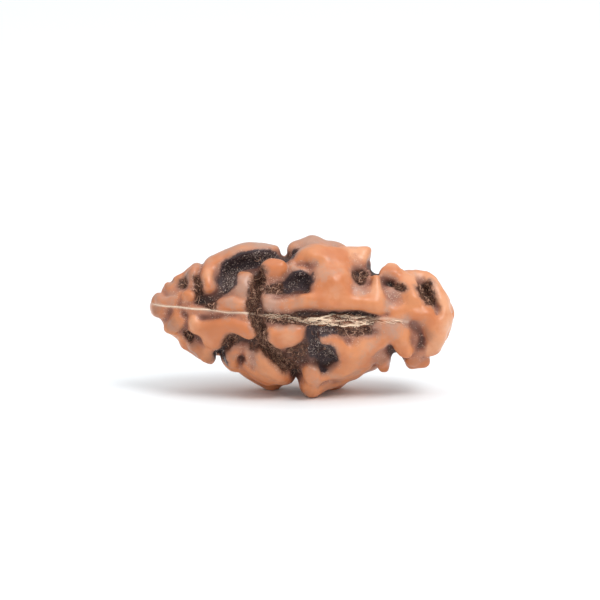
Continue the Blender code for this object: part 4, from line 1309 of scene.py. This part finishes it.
@dataclass
class SeedStone:
    """The stone itself, one mass with crests, valleys and pits."""

    outline: CrestOutline = field(default_factory=CrestOutline)
    frame: StoneFrame = field(default_factory=StoneFrame)
    finish: StoneFinish = field(default_factory=StoneFinish)
    half_block: Triple = (13.4, 7.6, 6.4)
    cell: float = 0.13
    core_inset: float = 1.45
    core_share: float = 0.55
    core_slope: float = 0.85
    core_length: float = 11.9
    crest_depth: float = 1.35
    crest_foot: float = 1.3
    valley_depth: float = 1.0
    straight: float = 1.2
    dome: float = 0.40
    lobe_blend: float = 0.45
    valley_blend: float = 0.60
    pit_blend: float = 0.44
    pit_mouth: float = 1.18
    notch: Gouge = Gouge(1.6, 0.6, 0.8)
    pit: Gouge = Gouge(1.6, 0.35, 0.58)
    far_pit: Gouge = Gouge(1.0, 0.3, 0.58)
    root_share: float = 0.75
    rest_cut: float = 0.18
    rest_blend: float = 0.8
    warps: tuple[tuple[float, float], ...] = ((1.5, 0.20), (0.7, 0.07))
    lumps: tuple[tuple[float, float], ...] = ((2.2, 0.10), (1.1, 0.06), (0.5, 0.03))
    soften: float = 0.14
    cavity_blur: float = 0.45
    patch_depth: float = 0.4
    patch_spread: float = 1.15
    patch_fade: float = 0.7
    soil_reach: float = 2.0
    block: ReliefBlock | None = None
    points: np.ndarray | None = None
    faces: np.ndarray | None = None
    marks: dict[str, np.ndarray] = field(default_factory=dict)

    FAR_SEED = 5
    FAR_TRIES = 1400
    FAR_STEP = 0.5
    FAR_STEPS = (3, 12)
    FAR_TURN = 0.55
    FAR_ENDS = (-11.8, 12.0)
    FAR_ANGLES = (math.radians(76.0), math.radians(284.0))
    # The spacing, and the least and greatest radius, of the broad ridges and then of the thin ones.
    FAR_GROWTHS = ((1.7, (0.72, 0.95)), (1.22, (0.42, 0.62)))
    FAR_GAP = 1.2
    FAR_PIT_ANGLES = (math.radians(115.0), math.radians(245.0))
    FAR_PIT_ENDS = (-10.0, 9.8)
    FAR_PIT_RADII = (0.2, 0.38)
    FAR_PIT_LENGTH = 1.4
    FAR_PIT_TAPER = 0.4
    FAR_PIT_STEPS = 5
    FAR_PIT_SINK = 0.5
    FAR_PIT_GAP = 0.85
    FAR_PIT_SPACING = 2.3
    END_RUN = (13.2, 9.0)
    END_PROBES = 65
    # The (first x, last x, first h, last h) of places that the far side keeps out of.
    CLEAR = (
        (6.4, 9.4, -9.0, -2.0),
        (-1.1, 0.2, -9.0, -4.2),
        (-7.4, -6.4, -9.0, -3.1),
        (5.0, 7.1, 3.0, 9.0),
    )

    def shape(self) -> None:
        """Build the relief block and read the skin and its marks from it."""
        self.block = ReliefBlock(tuple(-v for v in self.half_block), self.half_block, self.cell)
        self._add_core()
        self.block.bend(self.warps)
        far_centres = self._add_far_side(self._add_lobes())
        self._add_underside()
        self._carve_end()
        self._carve_rim()
        soot, peat = self._carve_pits(far_centres)
        self.block.unbend()
        self.block.distance = self.block.blurred(self.block.distance, self.soften)
        for number, (size, reach) in enumerate(self.lumps):
            self.block.distance += reach * self.block.noise(size, number + 1)
        under_floor = -self.frame.over_floor(self.block.everywhere()).astype(np.float32)
        self.block.distance = np.maximum(self.block.distance, under_floor)
        self.points, self.faces = self.block.surface()
        self._mark(soot, peat)

    def _mark(self, soot: np.ndarray, peat: np.ndarray) -> None:
        """Read the skin points' marks, which the finish and the fibres go by.

        Args:
            soot: the block's distances to the sooty pits.
            peat: its distances to the fibrous ones.
        """
        solid = self.block.blurred((self.block.distance < 0).astype(np.float32), self.cavity_blur)
        self.marks = {
            "depth": self.outline.below(self.points),
            "cavity": self.block.sampled(solid, self.points),
            "soot": np.clip(self.block.sampled(soot, self.points), -1, 2),
            "peat": np.clip(self.block.sampled(peat, self.points), -1, 2),
            "seam": self._seam_gap(),
            # dusty bloom and painted sheen
            "bloom_and_sheen": self._patched(bloom_and_sheen_patches()),
            "umber": self._patched(umber_patches()),
            # painted light patches
            "painted_light": self._patched(painted_light_patches()),
        }

    def _seam_gap(self) -> np.ndarray:
        """Return how far each point is from the seam line.

        Returns:
            Distances in mm, at most 2, and 2 on the far side.
        """
        line = np.array(SEAM_LINE)
        x, h, d = self.points.T
        past = np.maximum(np.abs(x - line[:, 0].mean()) - np.ptp(line[:, 0]) / 2, 0)
        gap = np.hypot(h - np.interp(x, line[:, 0], line[:, 1]), past)
        return np.where(d > 0, np.minimum(gap, 2), 2)

    def _patched(self, patches: tuple[Station, ...]) -> np.ndarray:
        """Return how strongly soft patches cover each point.

        Args:
            patches: (x, h, radius, strength) over the seam side.

        Returns:
            Shares from 0 to 1.
        """
        total = np.zeros(len(self.points))
        for x, h, radius, strength in patches:
            centre = self.outline.under_face(np.array([[x, h, self.patch_depth, 0.0]]))[0][0]
            gap = ((self.points - centre) ** 2).sum(1) / (radius * self.patch_spread) ** 2
            total = np.maximum(total, strength * np.exp(-self.patch_fade * gap))
        return total

    def _add_core(self) -> None:
        """Fill the body under the crests."""
        grid = self.block.everywhere()
        inset = np.minimum(self.core_inset, self.core_share * self.outline.half(grid[..., 0]))
        body = (inset - self.outline.below(grid)) * self.core_slope
        self.block.distance = np.maximum(body, np.abs(grid[..., 0]) - self.core_length).astype(np.float32)

    def _raise(self, centres: np.ndarray, radii: np.ndarray, straight: float) -> None:
        """Add crests that stand on round posts.

        Args:
            centres: the crests' centres.
            radii: their radii.
            straight: how far the posts turn towards straight in from the seam side.
        """
        inner = centres + self.outline.inward(centres, straight) * self.crest_depth
        self.block.add(*self.block.posts(centres, inner, radii, self.crest_foot), self.lobe_blend)

    def _on_rim(self, rows: np.ndarray) -> np.ndarray:
        """Return the centres of (x, tens of degrees, radius, rise) rows."""
        return self.outline.around(rows[:, 0], np.radians(10 * rows[:, 1]), rows[:, 2] - rows[:, 3])

    def _add_lobes(self) -> np.ndarray:
        """Add the seam side's lobes, the rim's lobes and the shallow valley floors.

        Returns:
            The lobes' centres.
        """
        crowd = []
        for lobe in seam_side_lobes().values():
            centres, radii = self.outline.under_face(lobe.samples(self.dome))
            crowd.append(centres)
            self._raise(centres, radii, self.straight)
        for lobe in rim_lobes().values():
            rows = lobe.samples(self.dome)
            crowd.append(self._on_rim(rows))
            self._raise(crowd[-1], rows[:, 2], 0.0)
        for valley in seam_side_valleys().values():
            centres, radii = self.outline.under_face(valley.samples())
            inner = centres + self.outline.inward(centres, self.straight) * self.valley_depth
            self.block.add(*self.block.posts(centres, inner, radii, 1.0), self.valley_blend)
        return np.concatenate(crowd)

    def _winding_ridge(self, dice: random.Random, taken: list[np.ndarray], spacing: float,
                       radii: tuple[float, float]) -> list[Triple]:
        """Grow one winding ridge up to where it meets the ends or others.

        Args:
            dice: the seeded source of chance.
            taken: the centres that it keeps clear of, to which its own are added.
            spacing: how far it stays from them, in mm.
            radii: the least and the greatest crest radius, in mm.

        Returns:
            The ridge's (x, angle, radius) rows.
        """
        x, angle = dice.uniform(*self.FAR_ENDS), dice.uniform(*self.FAR_ANGLES)
        heading, radius = dice.uniform(0.0, math.tau), dice.uniform(*radii)
        steps = dice.randint(*self.FAR_STEPS)
        turns = [dice.uniform(-self.FAR_TURN, self.FAR_TURN) for _ in range(self.FAR_STEPS[1])]
        rows, centres = [], []
        for turn in turns[:steps]:
            reach = float(self.outline.half(x)) - radius
            between_ends = self.FAR_ENDS[0] < x < self.FAR_ENDS[1]
            on_far_side = self.FAR_ANGLES[0] < angle < self.FAR_ANGLES[1]
            if not (between_ends and on_far_side) or reach < radius:
                break
            centre = self.outline.around(np.array([x]), np.array([angle]), np.array([radius]))[0]
            if any(math.dist(centre, other) < spacing for other in taken):
                break
            rows.append((x, angle, radius))
            centres.append(centre)
            heading += turn
            x += self.FAR_STEP * math.cos(heading)
            angle += self.FAR_STEP * math.sin(heading) / reach
        taken += centres
        return rows

    def _far_ridges(self) -> list[np.ndarray]:
        """Grow the far side's broad ridges, then the thin ones between them.

        Returns:
            One array of (x, angle, radius) rows for each ridge.
        """
        dice = random.Random(self.FAR_SEED)
        taken: list[np.ndarray] = []
        ridges = [self._winding_ridge(dice, taken, spacing, radii)
                  for spacing, radii in self.FAR_GROWTHS for _ in range(self.FAR_TRIES)]
        return [np.array(rows) for rows in ridges if rows]

    def _add_far_side(self, seen: np.ndarray) -> np.ndarray:
        """Add the far side's ridges where they clear the seam side's lobes.

        Args:
            seen: the centres of the seam side's and the rim's lobes.

        Returns:
            The centres of the ridges that were added.
        """
        crowd = []
        for rows in self._far_ridges():
            centres = self.outline.around(*rows.T)
            gaps = np.array([np.linalg.norm(seen - centre, axis=1).min() for centre in centres])
            hanging = [any(low < x < high and bottom < h < top for low, high, bottom, top in self.CLEAR)
                       for x, h in centres[:, :2]]
            kept = (gaps > self.FAR_GAP) & ~np.array(hanging)
            if kept.any():
                crowd.append(centres[kept])
                self._raise(centres[kept], rows[kept, 2], 0.0)
        return np.concatenate(crowd)

    def _far_pits(self, ridges: np.ndarray) -> list[np.ndarray]:
        """Throw short winding pits between the far side's ridges.

        Args:
            ridges: the ridges' centres.

        Returns:
            One array of (x, angle, radius) rows for each pit.
        """
        dice = random.Random(self.FAR_SEED + 1)
        pits: list[np.ndarray] = []
        taken: list[np.ndarray] = []
        for _ in range(self.FAR_TRIES):
            x, angle = dice.uniform(*self.FAR_PIT_ENDS), dice.uniform(*self.FAR_PIT_ANGLES)
            radius, heading = dice.uniform(*self.FAR_PIT_RADII), dice.uniform(0.0, math.tau)
            along = np.linspace(0.0, dice.uniform(0.0, self.FAR_PIT_LENGTH), self.FAR_PIT_STEPS)
            inset = np.array([radius + self.FAR_PIT_SINK])
            place = self.outline.around(np.array([x]), np.array([angle]), inset)[0]
            clear = np.linalg.norm(ridges - place, axis=1).min() > self.FAR_PIT_GAP
            if clear and all(math.dist(place, other) > self.FAR_PIT_SPACING for other in taken):
                taken.append(place)
                turns = angle + along * math.sin(heading) / float(self.outline.half(x))
                radii = radius * (1.0 - self.FAR_PIT_TAPER * along)
                pits.append(np.stack([x + along * math.cos(heading), turns, radii], axis=1))
        return pits

    def _add_underside(self) -> None:
        """Add the ridges that the stone lies on."""
        shift_x, shift_y = self.frame.CENTRE_SHIFT
        root = np.array([1.0, self.root_share, self.root_share])
        for shape in underside_ridges().values():
            rows = shape.samples()
            low = np.array([self.frame.from_row(x + shift_x, y + shift_y, radius + height - self.rest_cut)
                            for x, y, radius, height in rows])
            self.block.add(*self.block.posts(low, low * root, rows[:, 2], 1.0), self.rest_blend)

    def _carve_end(self) -> None:
        """Carve the blunt end's furrows to their depths under its skin."""
        along = np.array([1.0, 0.0, 0.0])
        for furrow in end_furrows().values():
            rows = furrow.samples()
            run = np.linspace(*self.END_RUN, self.END_PROBES)
            line = np.stack(np.broadcast_arrays(run[None], rows[:, 1:2], rows[:, :1]), axis=-1)
            read = self.block.sampled(self.block.distance, line.reshape(-1, 3))
            inside = read.reshape(line.shape[:2]) < 0
            skin = line[np.arange(len(rows)), inside.argmax(axis=1)]
            outer = skin + self.notch.outward * along
            inner = skin - rows[:, 3:4] * along
            self.block.carve(*self.block.posts(outer, inner, rows[:, 2], self.notch.foot), self.pit_blend)

    def _carve(self, centres: np.ndarray, radii: np.ndarray, gouge: Gouge, straight: float) -> tuple:
        """Carve a crowd of round cuts into the stone.

        Args:
            centres: where they are, a radius under the outline.
            radii: their radii at the mouth.
            gouge: how they go in.
            straight: how far they turn towards straight in from the seam side.

        Returns:
            The slices of the window that holds them, and their distances in it.
        """
        inward = self.outline.inward(centres, straight)
        outer, inner = centres - inward * gouge.outward, centres + inward * gouge.depth
        cut, distance = self.block.posts(outer, inner, radii, gouge.foot)
        self.block.carve(cut, distance, self.pit_blend)
        return cut, distance

    def _carve_rim(self) -> None:
        """Carve the notches and folds of the outline."""
        for notch in rim_notches().values():
            rows = notch.samples()
            self._carve(self._on_rim(rows), rows[:, 2], self.notch, 0.0)

    def _carve_pits(self, far_centres: np.ndarray) -> tuple[np.ndarray, np.ndarray]:
        """Carve the pits of the seam side and of the far side.

        Args:
            far_centres: the centres of the far side's ridges.

        Returns:
            The block's distances to the sooty pits, and to the fibrous ones.
        """
        soot, peat = (np.full(self.block.count, self.soil_reach, np.float32) for _ in range(2))
        for pits, soil in ((clean_pits(), None), (sooty_pits(), soot), (fibrous_pits(), peat)):
            for pit in pits.values():
                centres, radii = self.outline.under_face(pit.samples())
                cut, distance = self._carve(centres, radii * self.pit_mouth, self.pit, self.straight)
                if soil is not None:
                    soil[cut] = np.minimum(soil[cut], distance)
        for rows in self._far_pits(far_centres):
            places = self.outline.around(rows[:, 0], rows[:, 1], rows[:, 2] + self.FAR_PIT_SINK)
            cut, distance = self._carve(places, rows[:, 2] * self.pit_mouth, self.far_pit, 0.0)
            peat[cut] = np.minimum(peat[cut], distance)
        return soot, peat

    def make(self) -> bpy.types.Object:
        """Returns:
            The object.
        """
        skin = mesh_object("stone_skin", self.frame.to_row(self.points), self.faces, self.finish.material())
        for name, values in self.marks.items():
            set_attribute(skin, name, values)
        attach(skin, BODY)
        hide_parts(NODE)
        return skin


class Ground:
    """The finished skin as something to lay small pieces on, in the stone's own frame."""

    REACH = 12.0
    MOST_SOILED = 0.2

    def __init__(self, stone: SeedStone) -> None:
        """Index the skin of a shaped stone."""
        self.stone = stone
        self.tree = BVHTree.FromPolygons(stone.points.tolist(), stone.faces.tolist())

    def touch(self, place: np.ndarray) -> tuple[np.ndarray, np.ndarray]:
        """Return the skin's nearest point to a place, and the outward normal there."""
        spot, normal, _, _ = self.tree.find_nearest(Vector(place))
        return np.array(spot), np.array(normal)

    def faced(self, across: np.ndarray, heights: np.ndarray) -> tuple[np.ndarray, np.ndarray]:
        """Look straight in from the seam side and find the skin.

        Args:
            across: where to look, along x.
            heights: and at which h.

        Returns:
            The skin's points that were met, and the normals there.
        """
        spots, normals = [], []
        for x, h in zip(across, heights):
            spot, normal, _, _ = self.tree.ray_cast(Vector((x, h, self.REACH)), Vector((0.0, 0.0, -1.0)))
            if spot is not None:
                spots.append(spot)
                normals.append(normal)
        return np.array(spots), np.array(normals)

    def draw(self, weights: np.ndarray, count: int, dice: np.random.Generator) -> np.ndarray:
        """Return the numbers of skin points, drawn by a weight for each of them."""
        return dice.choice(len(weights), count, p=weights / weights.sum())

    def clumps(self, size: float, seed: int) -> np.ndarray:
        """Return how thickly things gather at each skin point, by patches of a size."""
        patches = self.stone.block.sampled(self.stone.block.noise(size, seed), self.stone.points)
        return np.clip(0.5 + 1.6 * patches, 0.1, 2.0)

    def soiled(self, mark: str, edge: float, least_depth: float) -> np.ndarray:
        """Return how soiled each skin point is that lies deep enough."""
        marks = self.stone.marks
        return np.clip(edge - marks[mark], 0, self.MOST_SOILED) * (marks["depth"] > least_depth)

    def fronted(self, share: float) -> np.ndarray:
        """Return a share for the skin points of the seam side, and 1 for the others."""
        return np.where(self.stone.points[:, 2] > 0, share, 1.0)

    def crawl(self, start: np.ndarray, lifts: np.ndarray, step: float, curl: float,
              dice: np.random.Generator) -> tuple[np.ndarray, np.ndarray]:
        """Wander over the skin.

        Args:
            start: where to begin.
            lifts: the height over the skin at each step, in mm.
            step: the length of a step.
            curl: how much each step turns, in radians.
            dice: the source of chance.

        Returns:
            The path's points and the skin's normals under them.
        """
        place, normal = self.touch(start)
        heading = dice.normal(size=3)
        bias = dice.normal(0, curl)
        path, normals = [], []
        for lift in lifts:
            heading -= normal * (heading @ normal)
            heading /= np.linalg.norm(heading)
            side = np.cross(normal, heading)
            turn = bias + dice.normal(0, curl)
            heading = heading * math.cos(turn) + side * math.sin(turn)
            place, normal = self.touch(place + heading * step)
            path.append(place + normal * lift)
            normals.append(normal)
        return np.array(path), np.array(normals)


@dataclass
class Strands:
    """A bundle of fibres under way: closed tubes with a tone for each."""

    sides: int = 4
    flatness: float = 0.7
    points: list[np.ndarray] = field(default_factory=list)
    faces: list[np.ndarray] = field(default_factory=list)
    tones: list[np.ndarray] = field(default_factory=list)
    count: int = 0

    def add(self, path: np.ndarray, normals: np.ndarray, radii: np.ndarray, tone: float) -> None:
        """Add a tube along a path, flattened along its normals.

        Args:
            path: its points.
            normals: the skin's normals under them.
            radii: its radius at each point.
            tone: from 0 for dark to 1 for pale.
        """
        along = unit(np.gradient(path, axis=0))
        side = unit(np.cross(along, normals))
        up = np.cross(side, along)
        turns = np.arange(self.sides) / self.sides * math.tau
        ring = side[:, None] * np.cos(turns)[:, None] + up[:, None] * np.sin(turns)[:, None] * self.flatness
        self.points.append((path[:, None] + ring * radii[:, None, None]).reshape(-1, 3))
        number = np.arange(len(path) * self.sides).reshape(-1, self.sides)
        onward = np.roll(number, -1, axis=1)
        walls = np.stack([number[:-1], number[1:], onward[1:], onward[:-1]], -1).reshape(-1, 4)
        ends = (number[0], number[-1][::-1])
        caps = [[row[0], *row[k:k + 3]] for row in ends for k in range(1, self.sides - 1, 2)]
        self.faces.append(np.concatenate([walls, np.array(caps)]) + self.count)
        self.tones.append(np.full(number.size, tone))
        self.count += number.size

    def make(self, name: str, frame: StoneFrame, finish: FibreFinish) -> bpy.types.Object:
        """Args:
            name: the piece's name.
            frame: where the stone lies.
            finish: what the fibres look like.

        Returns:
            The object.
        """
        places = frame.to_row(np.concatenate(self.points))
        item = mesh_object(name, places, np.concatenate(self.faces), finish.material())
        set_attribute(item, "tone", np.concatenate(self.tones))
        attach(item, BODY)
        return item


def unit(rows: np.ndarray) -> np.ndarray:
    """Return each row at a length of 1."""
    return rows / np.maximum(np.linalg.norm(rows, axis=1, keepdims=True), 1e-9)


def tapered(count: int, radius: float) -> np.ndarray:
    """Return the radii along a fibre that thins out at both ends."""
    share = np.linspace(0, 1, count)
    return radius * np.clip(np.minimum(share, 1 - share) * 6 + 0.15, 0, 1)


def eased(path: np.ndarray, times: int) -> np.ndarray:
    """Return a path smoothed a number of times, with its ends kept.

    Args:
        path: its points.
        times: how often.

    Returns:
        The smoothed points.
    """
    for _ in range(times):
        path[1:-1] = (path[:-2] + 2 * path[1:-1] + path[2:]) / 4
    return path


@dataclass
class SeamThread:
    """The pale suture line along the narrow half of the seam side."""

    radius: float = 0.075
    step: float = 0.09
    first_gap: float = 0.15
    last_x: float = -3.2
    sink: float = 0.01
    wander: tuple[float, float] = (0.03, 2.3)
    tone: float = 0.75
    finish: FibreFinish = FibreFinish("seam_cream", (196, 160, 134), (238, 214, 190))

    def make(self, ground: Ground) -> bpy.types.Object:
        """Lay the thread on the skin.

        Args:
            ground: the stone's skin.

        Returns:
            The thread's object.
        """
        dice = np.random.default_rng(41)
        line = np.array(SEAM_LINE)
        across = np.arange(line[0, 0] + self.first_gap, self.last_x, self.step)
        reach, pace = self.wander
        heights = np.interp(across, line[:, 0], line[:, 1]) + reach * np.sin(pace * across)
        path, normals = ground.faced(across, heights)
        path = eased(path, 1)
        radii = self.radius * (0.75 + 0.35 * dice.random(len(path)))
        radii = np.minimum(radii, tapered(len(path), 2 * self.radius))
        strands = Strands(sides=6, flatness=0.75)
        strands.add(path - normals * self.sink, normals, radii, self.tone)
        return strands.make("seam_thread", ground.stone.frame, self.finish)


@dataclass(frozen=True)
class StrandRun:
    """A stretch of the seam from first to last x, and the strands that lie along it, in mm."""

    first: float
    last: float
    count: int
    short: float
    long: float
    radius: float


@dataclass
class SeamFibres:
    """The torn band of pale, layered fibre that fills the open half of the seam."""

    finish: FibreFinish = FibreFinish("seam_fibre_pale", (138, 92, 66), (252, 226, 198))
    step: float = 0.10
    least_points: int = 4
    clearance: float = 0.02
    most_piled: float = 0.12
    tones: tuple[float, ...] = (0.0, 0.6, 0.9, 1.0)

    # The band's (x, middle h, half width).
    BAND = (
        (-3.4, 0.15, 0.10), (-1.5, -0.02, 0.14), (0.2, -0.30, 0.18), (1.4, -0.30, 0.30), (2.6, -0.30, 0.44),
        (4.4, -0.34, 0.46), (5.6, -0.34, 0.30), (6.6, -0.36, 0.14), (8.9, -0.45, 0.08),
    )
    RUNS = (
        StrandRun(-3.3, 0.3, 34, 0.8, 2.2, 0.026),
        StrandRun(0.2, 5.6, 56, 0.6, 2.2, 0.024),
        StrandRun(0.3, 5.0, 44, 0.8, 2.8, 0.062),
        StrandRun(5.4, 8.4, 22, 0.4, 1.2, 0.020),
    )

    def make(self, ground: Ground) -> bpy.types.Object:
        """Lay the strands over each other along the band.

        Args:
            ground: the stone's skin.

        Returns:
            The band's object.
        """
        dice = np.random.default_rng(43)
        strands = Strands()
        for run in self.RUNS:
            for _ in range(run.count):
                self._lay(run, ground, strands, dice)
        return strands.make("seam_fibres", ground.stone.frame, self.finish)

    def _lay(self, run: StrandRun, ground: Ground, strands: Strands, dice: np.random.Generator) -> None:
        """Lay one strand, where there is skin enough under it.

        Args:
            run: the stretch that it lies in.
            ground: the stone's skin.
            strands: the bundle that it joins.
            dice: the source of chance.
        """
        start = dice.uniform(run.first - 0.3, run.last - 0.4)
        across = np.arange(start, min(start + dice.uniform(run.short, run.long), run.last + 0.5), self.step)
        lane, drift = dice.uniform(-1, 1), dice.normal(0, 0.35)
        wave, phase = dice.uniform(1.5, 5.5), dice.uniform(0, math.tau)
        size, pile = dice.uniform(0.03, 0.14), dice.uniform(0.0, self.most_piled)
        places, middles, halves = np.array(self.BAND).T
        middle, half = np.interp(across, places, middles), np.interp(across, places, halves)
        lanes = lane + drift * (across - start) / run.long
        path, normals = ground.faced(across, middle + half * lanes + size * np.sin(wave * across + phase))
        if len(path) > self.least_points:
            path = eased(path + np.array([0, 0, pile + self.clearance]), 3)
            radii = tapered(len(path), run.radius * dice.uniform(0.5, 1.3))
            strands.add(path, normals * 0.5 + np.array([0, 0, 0.5]), radii, dice.choice(self.tones))


@dataclass
class PitFibres:
    """Curly dry fibres caught in the channels and pits."""

    finish: FibreFinish = FibreFinish("pit_fibre_brown", (84, 50, 38), (214, 168, 142))
    count: int = 1000
    step: float = 0.07
    curl: float = 0.32
    clump: float = 0.7
    front_share: float = 1.5
    sooty_share: float = 0.08
    steps: tuple[int, int] = (5, 16)
    arch: tuple[float, float] = (0.02, 0.22)
    radii: tuple[float, float] = (0.012, 0.036)

    def make(self, ground: Ground) -> bpy.types.Object:
        """Scatter the fibres where the soil lies.

        Args:
            ground: the stone's skin.

        Returns:
            The fibres' object.
        """
        dice = np.random.default_rng(47)
        weights = ground.soiled("peat", 0.20, 0.35) + self.sooty_share * ground.soiled("soot", 0.10, 0.5)
        weights = weights * ground.clumps(self.clump, 59) * ground.fronted(self.front_share)
        strands = Strands()
        for start in ground.stone.points[ground.draw(weights, self.count, dice)]:
            steps = int(dice.integers(*self.steps))
            arch = np.sin(np.linspace(0, math.pi, steps)) * dice.uniform(*self.arch)
            path, normals = ground.crawl(start, self.arch[0] + arch, self.step, self.curl, dice)
            radius = dice.uniform(*self.radii)
            strands.add(path, normals, tapered(steps, radius), dice.random() ** 1.2)
        return strands.make("pit_fibres", ground.stone.frame, self.finish)


@dataclass
class PitGrains:
    """Crumbs of soil and bright grit in the pits."""

    finish: GrainFinish = field(default_factory=GrainFinish)
    crumbs: int = 10000
    grit: int = 5600
    crumb_sizes: tuple[float, float] = (0.025, 0.07)
    grit_sizes: tuple[float, float] = (0.02, 0.07)
    crumb_tones: tuple[float, float] = (0.0, 0.65)
    grit_tones: tuple[float, float] = (0.45, 1.0)
    corner_reaches: tuple[float, float] = (0.55, 1.3)
    corner_shift: float = 0.15
    spread: float = 0.05
    clump: float = 0.8
    front_share: float = 2.5

    CORNERS = np.array([(1, 0, 0), (-1, 0, 0), (0, 1, 0), (0, -1, 0), (0, 0, 1), (0, 0, -1)], float)
    SIDES = np.array([(a, b, 4) for a, b in ((0, 2), (2, 1), (1, 3), (3, 0))]
                     + [(a, b, 5) for a, b in ((2, 0), (1, 2), (3, 1), (0, 3))])

    def make(self, ground: Ground) -> bpy.types.Object:
        """Scatter dark crumbs and bright grit, each a small broken lump of its own.

        Args:
            ground: the stone's skin.

        Returns:
            The grains' object.
        """
        dice = np.random.default_rng(53)
        weights = ground.soiled("soot", 0.20, 0.4) + ground.soiled("peat", 0.20, 0.4)
        weights = weights * ground.clumps(self.clump, 61) * ground.fronted(self.front_share)
        drawn = np.concatenate([ground.draw(weights, count, dice) for count in (self.crumbs, self.grit)])
        sizes = [dice.uniform(*self.crumb_sizes, self.crumbs), dice.uniform(*self.grit_sizes, self.grit)]
        tones = [dice.uniform(*self.crumb_tones, self.crumbs), dice.uniform(*self.grit_tones, self.grit)]
        points, faces = self._lumps(ground.stone.points[drawn], np.concatenate(sizes), dice)
        item = mesh_object("pit_grains", ground.stone.frame.to_row(points), faces, self.finish.material())
        earthy = ground.stone.marks["peat"] < ground.stone.marks["soot"]
        set_attribute(item, "tone", np.repeat(np.concatenate(tones), len(self.CORNERS)))
        set_attribute(item, "earth", np.repeat(earthy[drawn], len(self.CORNERS)))
        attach(item, BODY)
        return item

    def _lumps(self, places: np.ndarray, sizes: np.ndarray,
               dice: np.random.Generator) -> tuple[np.ndarray, np.ndarray]:
        """Shape and turn a broken octahedron for each place.

        Args:
            places: where they lie.
            sizes: their radii in mm.
            dice: the source of chance.

        Returns:
            The lumps' points and faces.
        """
        count, corners = len(places), len(self.CORNERS)
        shape = self.CORNERS * dice.uniform(*self.corner_reaches, (count, corners, 1))
        shape = shape + dice.normal(0, self.corner_shift, (count, corners, 3))
        turn = np.linalg.qr(dice.normal(size=(count, 3, 3)))[0]
        turn[:, :, 0] *= np.sign(np.linalg.det(turn))[:, None]
        lumps = np.einsum("nij,nkj->nki", turn, shape) * sizes[:, None, None]
        strewn = places[:, None] + dice.normal(0, self.spread, (count, 1, 3))
        faces = self.SIDES[None] + corners * np.arange(count)[:, None, None]
        return (strewn + lumps).reshape(-1, 3), faces.reshape(-1, 3)


@dataclass(frozen=True)
class Softbox:
    """A square soft light that faces the stone, in metres and watts."""

    name: str
    place: Triple
    size: float
    power: float

    def hang(self) -> None:
        """Hang it over the table."""
        light = bpy.data.lights.new(self.name, "AREA")
        light.energy = self.power
        light.size = self.size
        item = bpy.data.objects.new(self.name, light)
        item.location = self.place
        item.rotation_euler = (-Vector(self.place)).to_track_quat("-Z", "Y").to_euler()
        bpy.context.scene.collection.objects.link(item)


@dataclass
class Studio:
    """The floor, the soft lights and the camera."""

    floor_finish: FloorFinish = field(default_factory=FloorFinish)
    floor_radius: float = 3.0
    floor_corners: int = 96
    distance: float = 0.403
    frame_width: float = 0.050
    sensor: float = 36.0
    stand: float = 0.400
    elevation: float = math.radians(10.0)
    aim: Triple = (-0.083, 1.417, 0.0)
    sky: float = 0.66
    softboxes: tuple[Softbox, ...] = (
        Softbox("key_softbox", (0.34, -0.30, 0.62), 0.35, 2.7),
        Softbox("top_softbox", (0.1, 0.0, 0.85), 1.00, 2.8),
        Softbox("left_fill", (-0.55, -0.35, 0.35), 0.45, 0.2),
    )

    def add_floor(self) -> None:
        """Lay the table top."""
        shape = bmesh.new()
        bmesh.ops.create_circle(shape, cap_ends=True, segments=self.floor_corners, radius=self.floor_radius)
        mesh = bpy.data.meshes.new("table_top")
        shape.to_mesh(mesh)
        shape.free()
        mesh.materials.append(self.floor_finish.material())
        floor = bpy.data.objects.new("table_top", mesh)
        bpy.context.scene.collection.objects.link(floor)

    def add_sky(self) -> None:
        """Fill the room with an even soft white."""
        world = bpy.data.worlds.new("soft_room")
        world.use_nodes = True
        backdrop = world.node_tree.nodes["Background"]
        backdrop.inputs["Color"].default_value = (1.0, 1.0, 1.0, 1.0)
        backdrop.inputs["Strength"].default_value = self.sky
        bpy.context.scene.world = world

    def add_camera(self, frame: StoneFrame) -> None:
        """Point a long lens at the stone from a little above.

        Args:
            frame: where the stone lies.
        """
        camera = bpy.data.cameras.new("camera")
        camera.sensor_width = self.sensor
        camera.lens = self.sensor * self.stand / self.frame_width
        camera.clip_start = 0.01
        camera.clip_end = 20.0
        back = Vector((0.0, -math.cos(self.elevation), math.sin(self.elevation)))
        target = Vector(frame.to_row(np.array(self.aim)))
        item = bpy.data.objects.new("camera", camera)
        item.location = target + back * self.distance
        item.rotation_euler = (-back).to_track_quat("-Z", "Y").to_euler()
        bpy.context.scene.collection.objects.link(item)
        bpy.context.scene.camera = item

    def make(self, frame: StoneFrame) -> None:
        """Set the whole studio up.

        Args:
            frame: where the stone lies.
        """
        self.add_floor()
        for softbox in self.softboxes:
            softbox.hang()
        self.add_sky()
        self.add_camera(frame)
        bpy.context.scene.view_settings.view_transform = "Standard"


def main() -> None:
    """Build the stone, what clings to it and the studio, in order."""
    logging.basicConfig(level=logging.INFO, format="%(name)s: %(message)s")
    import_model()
    stone = SeedStone()
    stone.shape()
    skin = stone.make()
    LOG.info("%s: %d faces", skin.name, len(skin.data.polygons))
    ground = Ground(stone)
    for kind in (SeamThread, SeamFibres, PitFibres, PitGrains):
        piece = kind().make(ground)
        LOG.info("%s: %d faces", piece.name, len(piece.data.polygons))
    studio = Studio()
    studio.make(stone.frame)
    LOG.info("studio: floor, %d softboxes, camera", len(studio.softboxes))


if __name__ == "__main__":
    main()
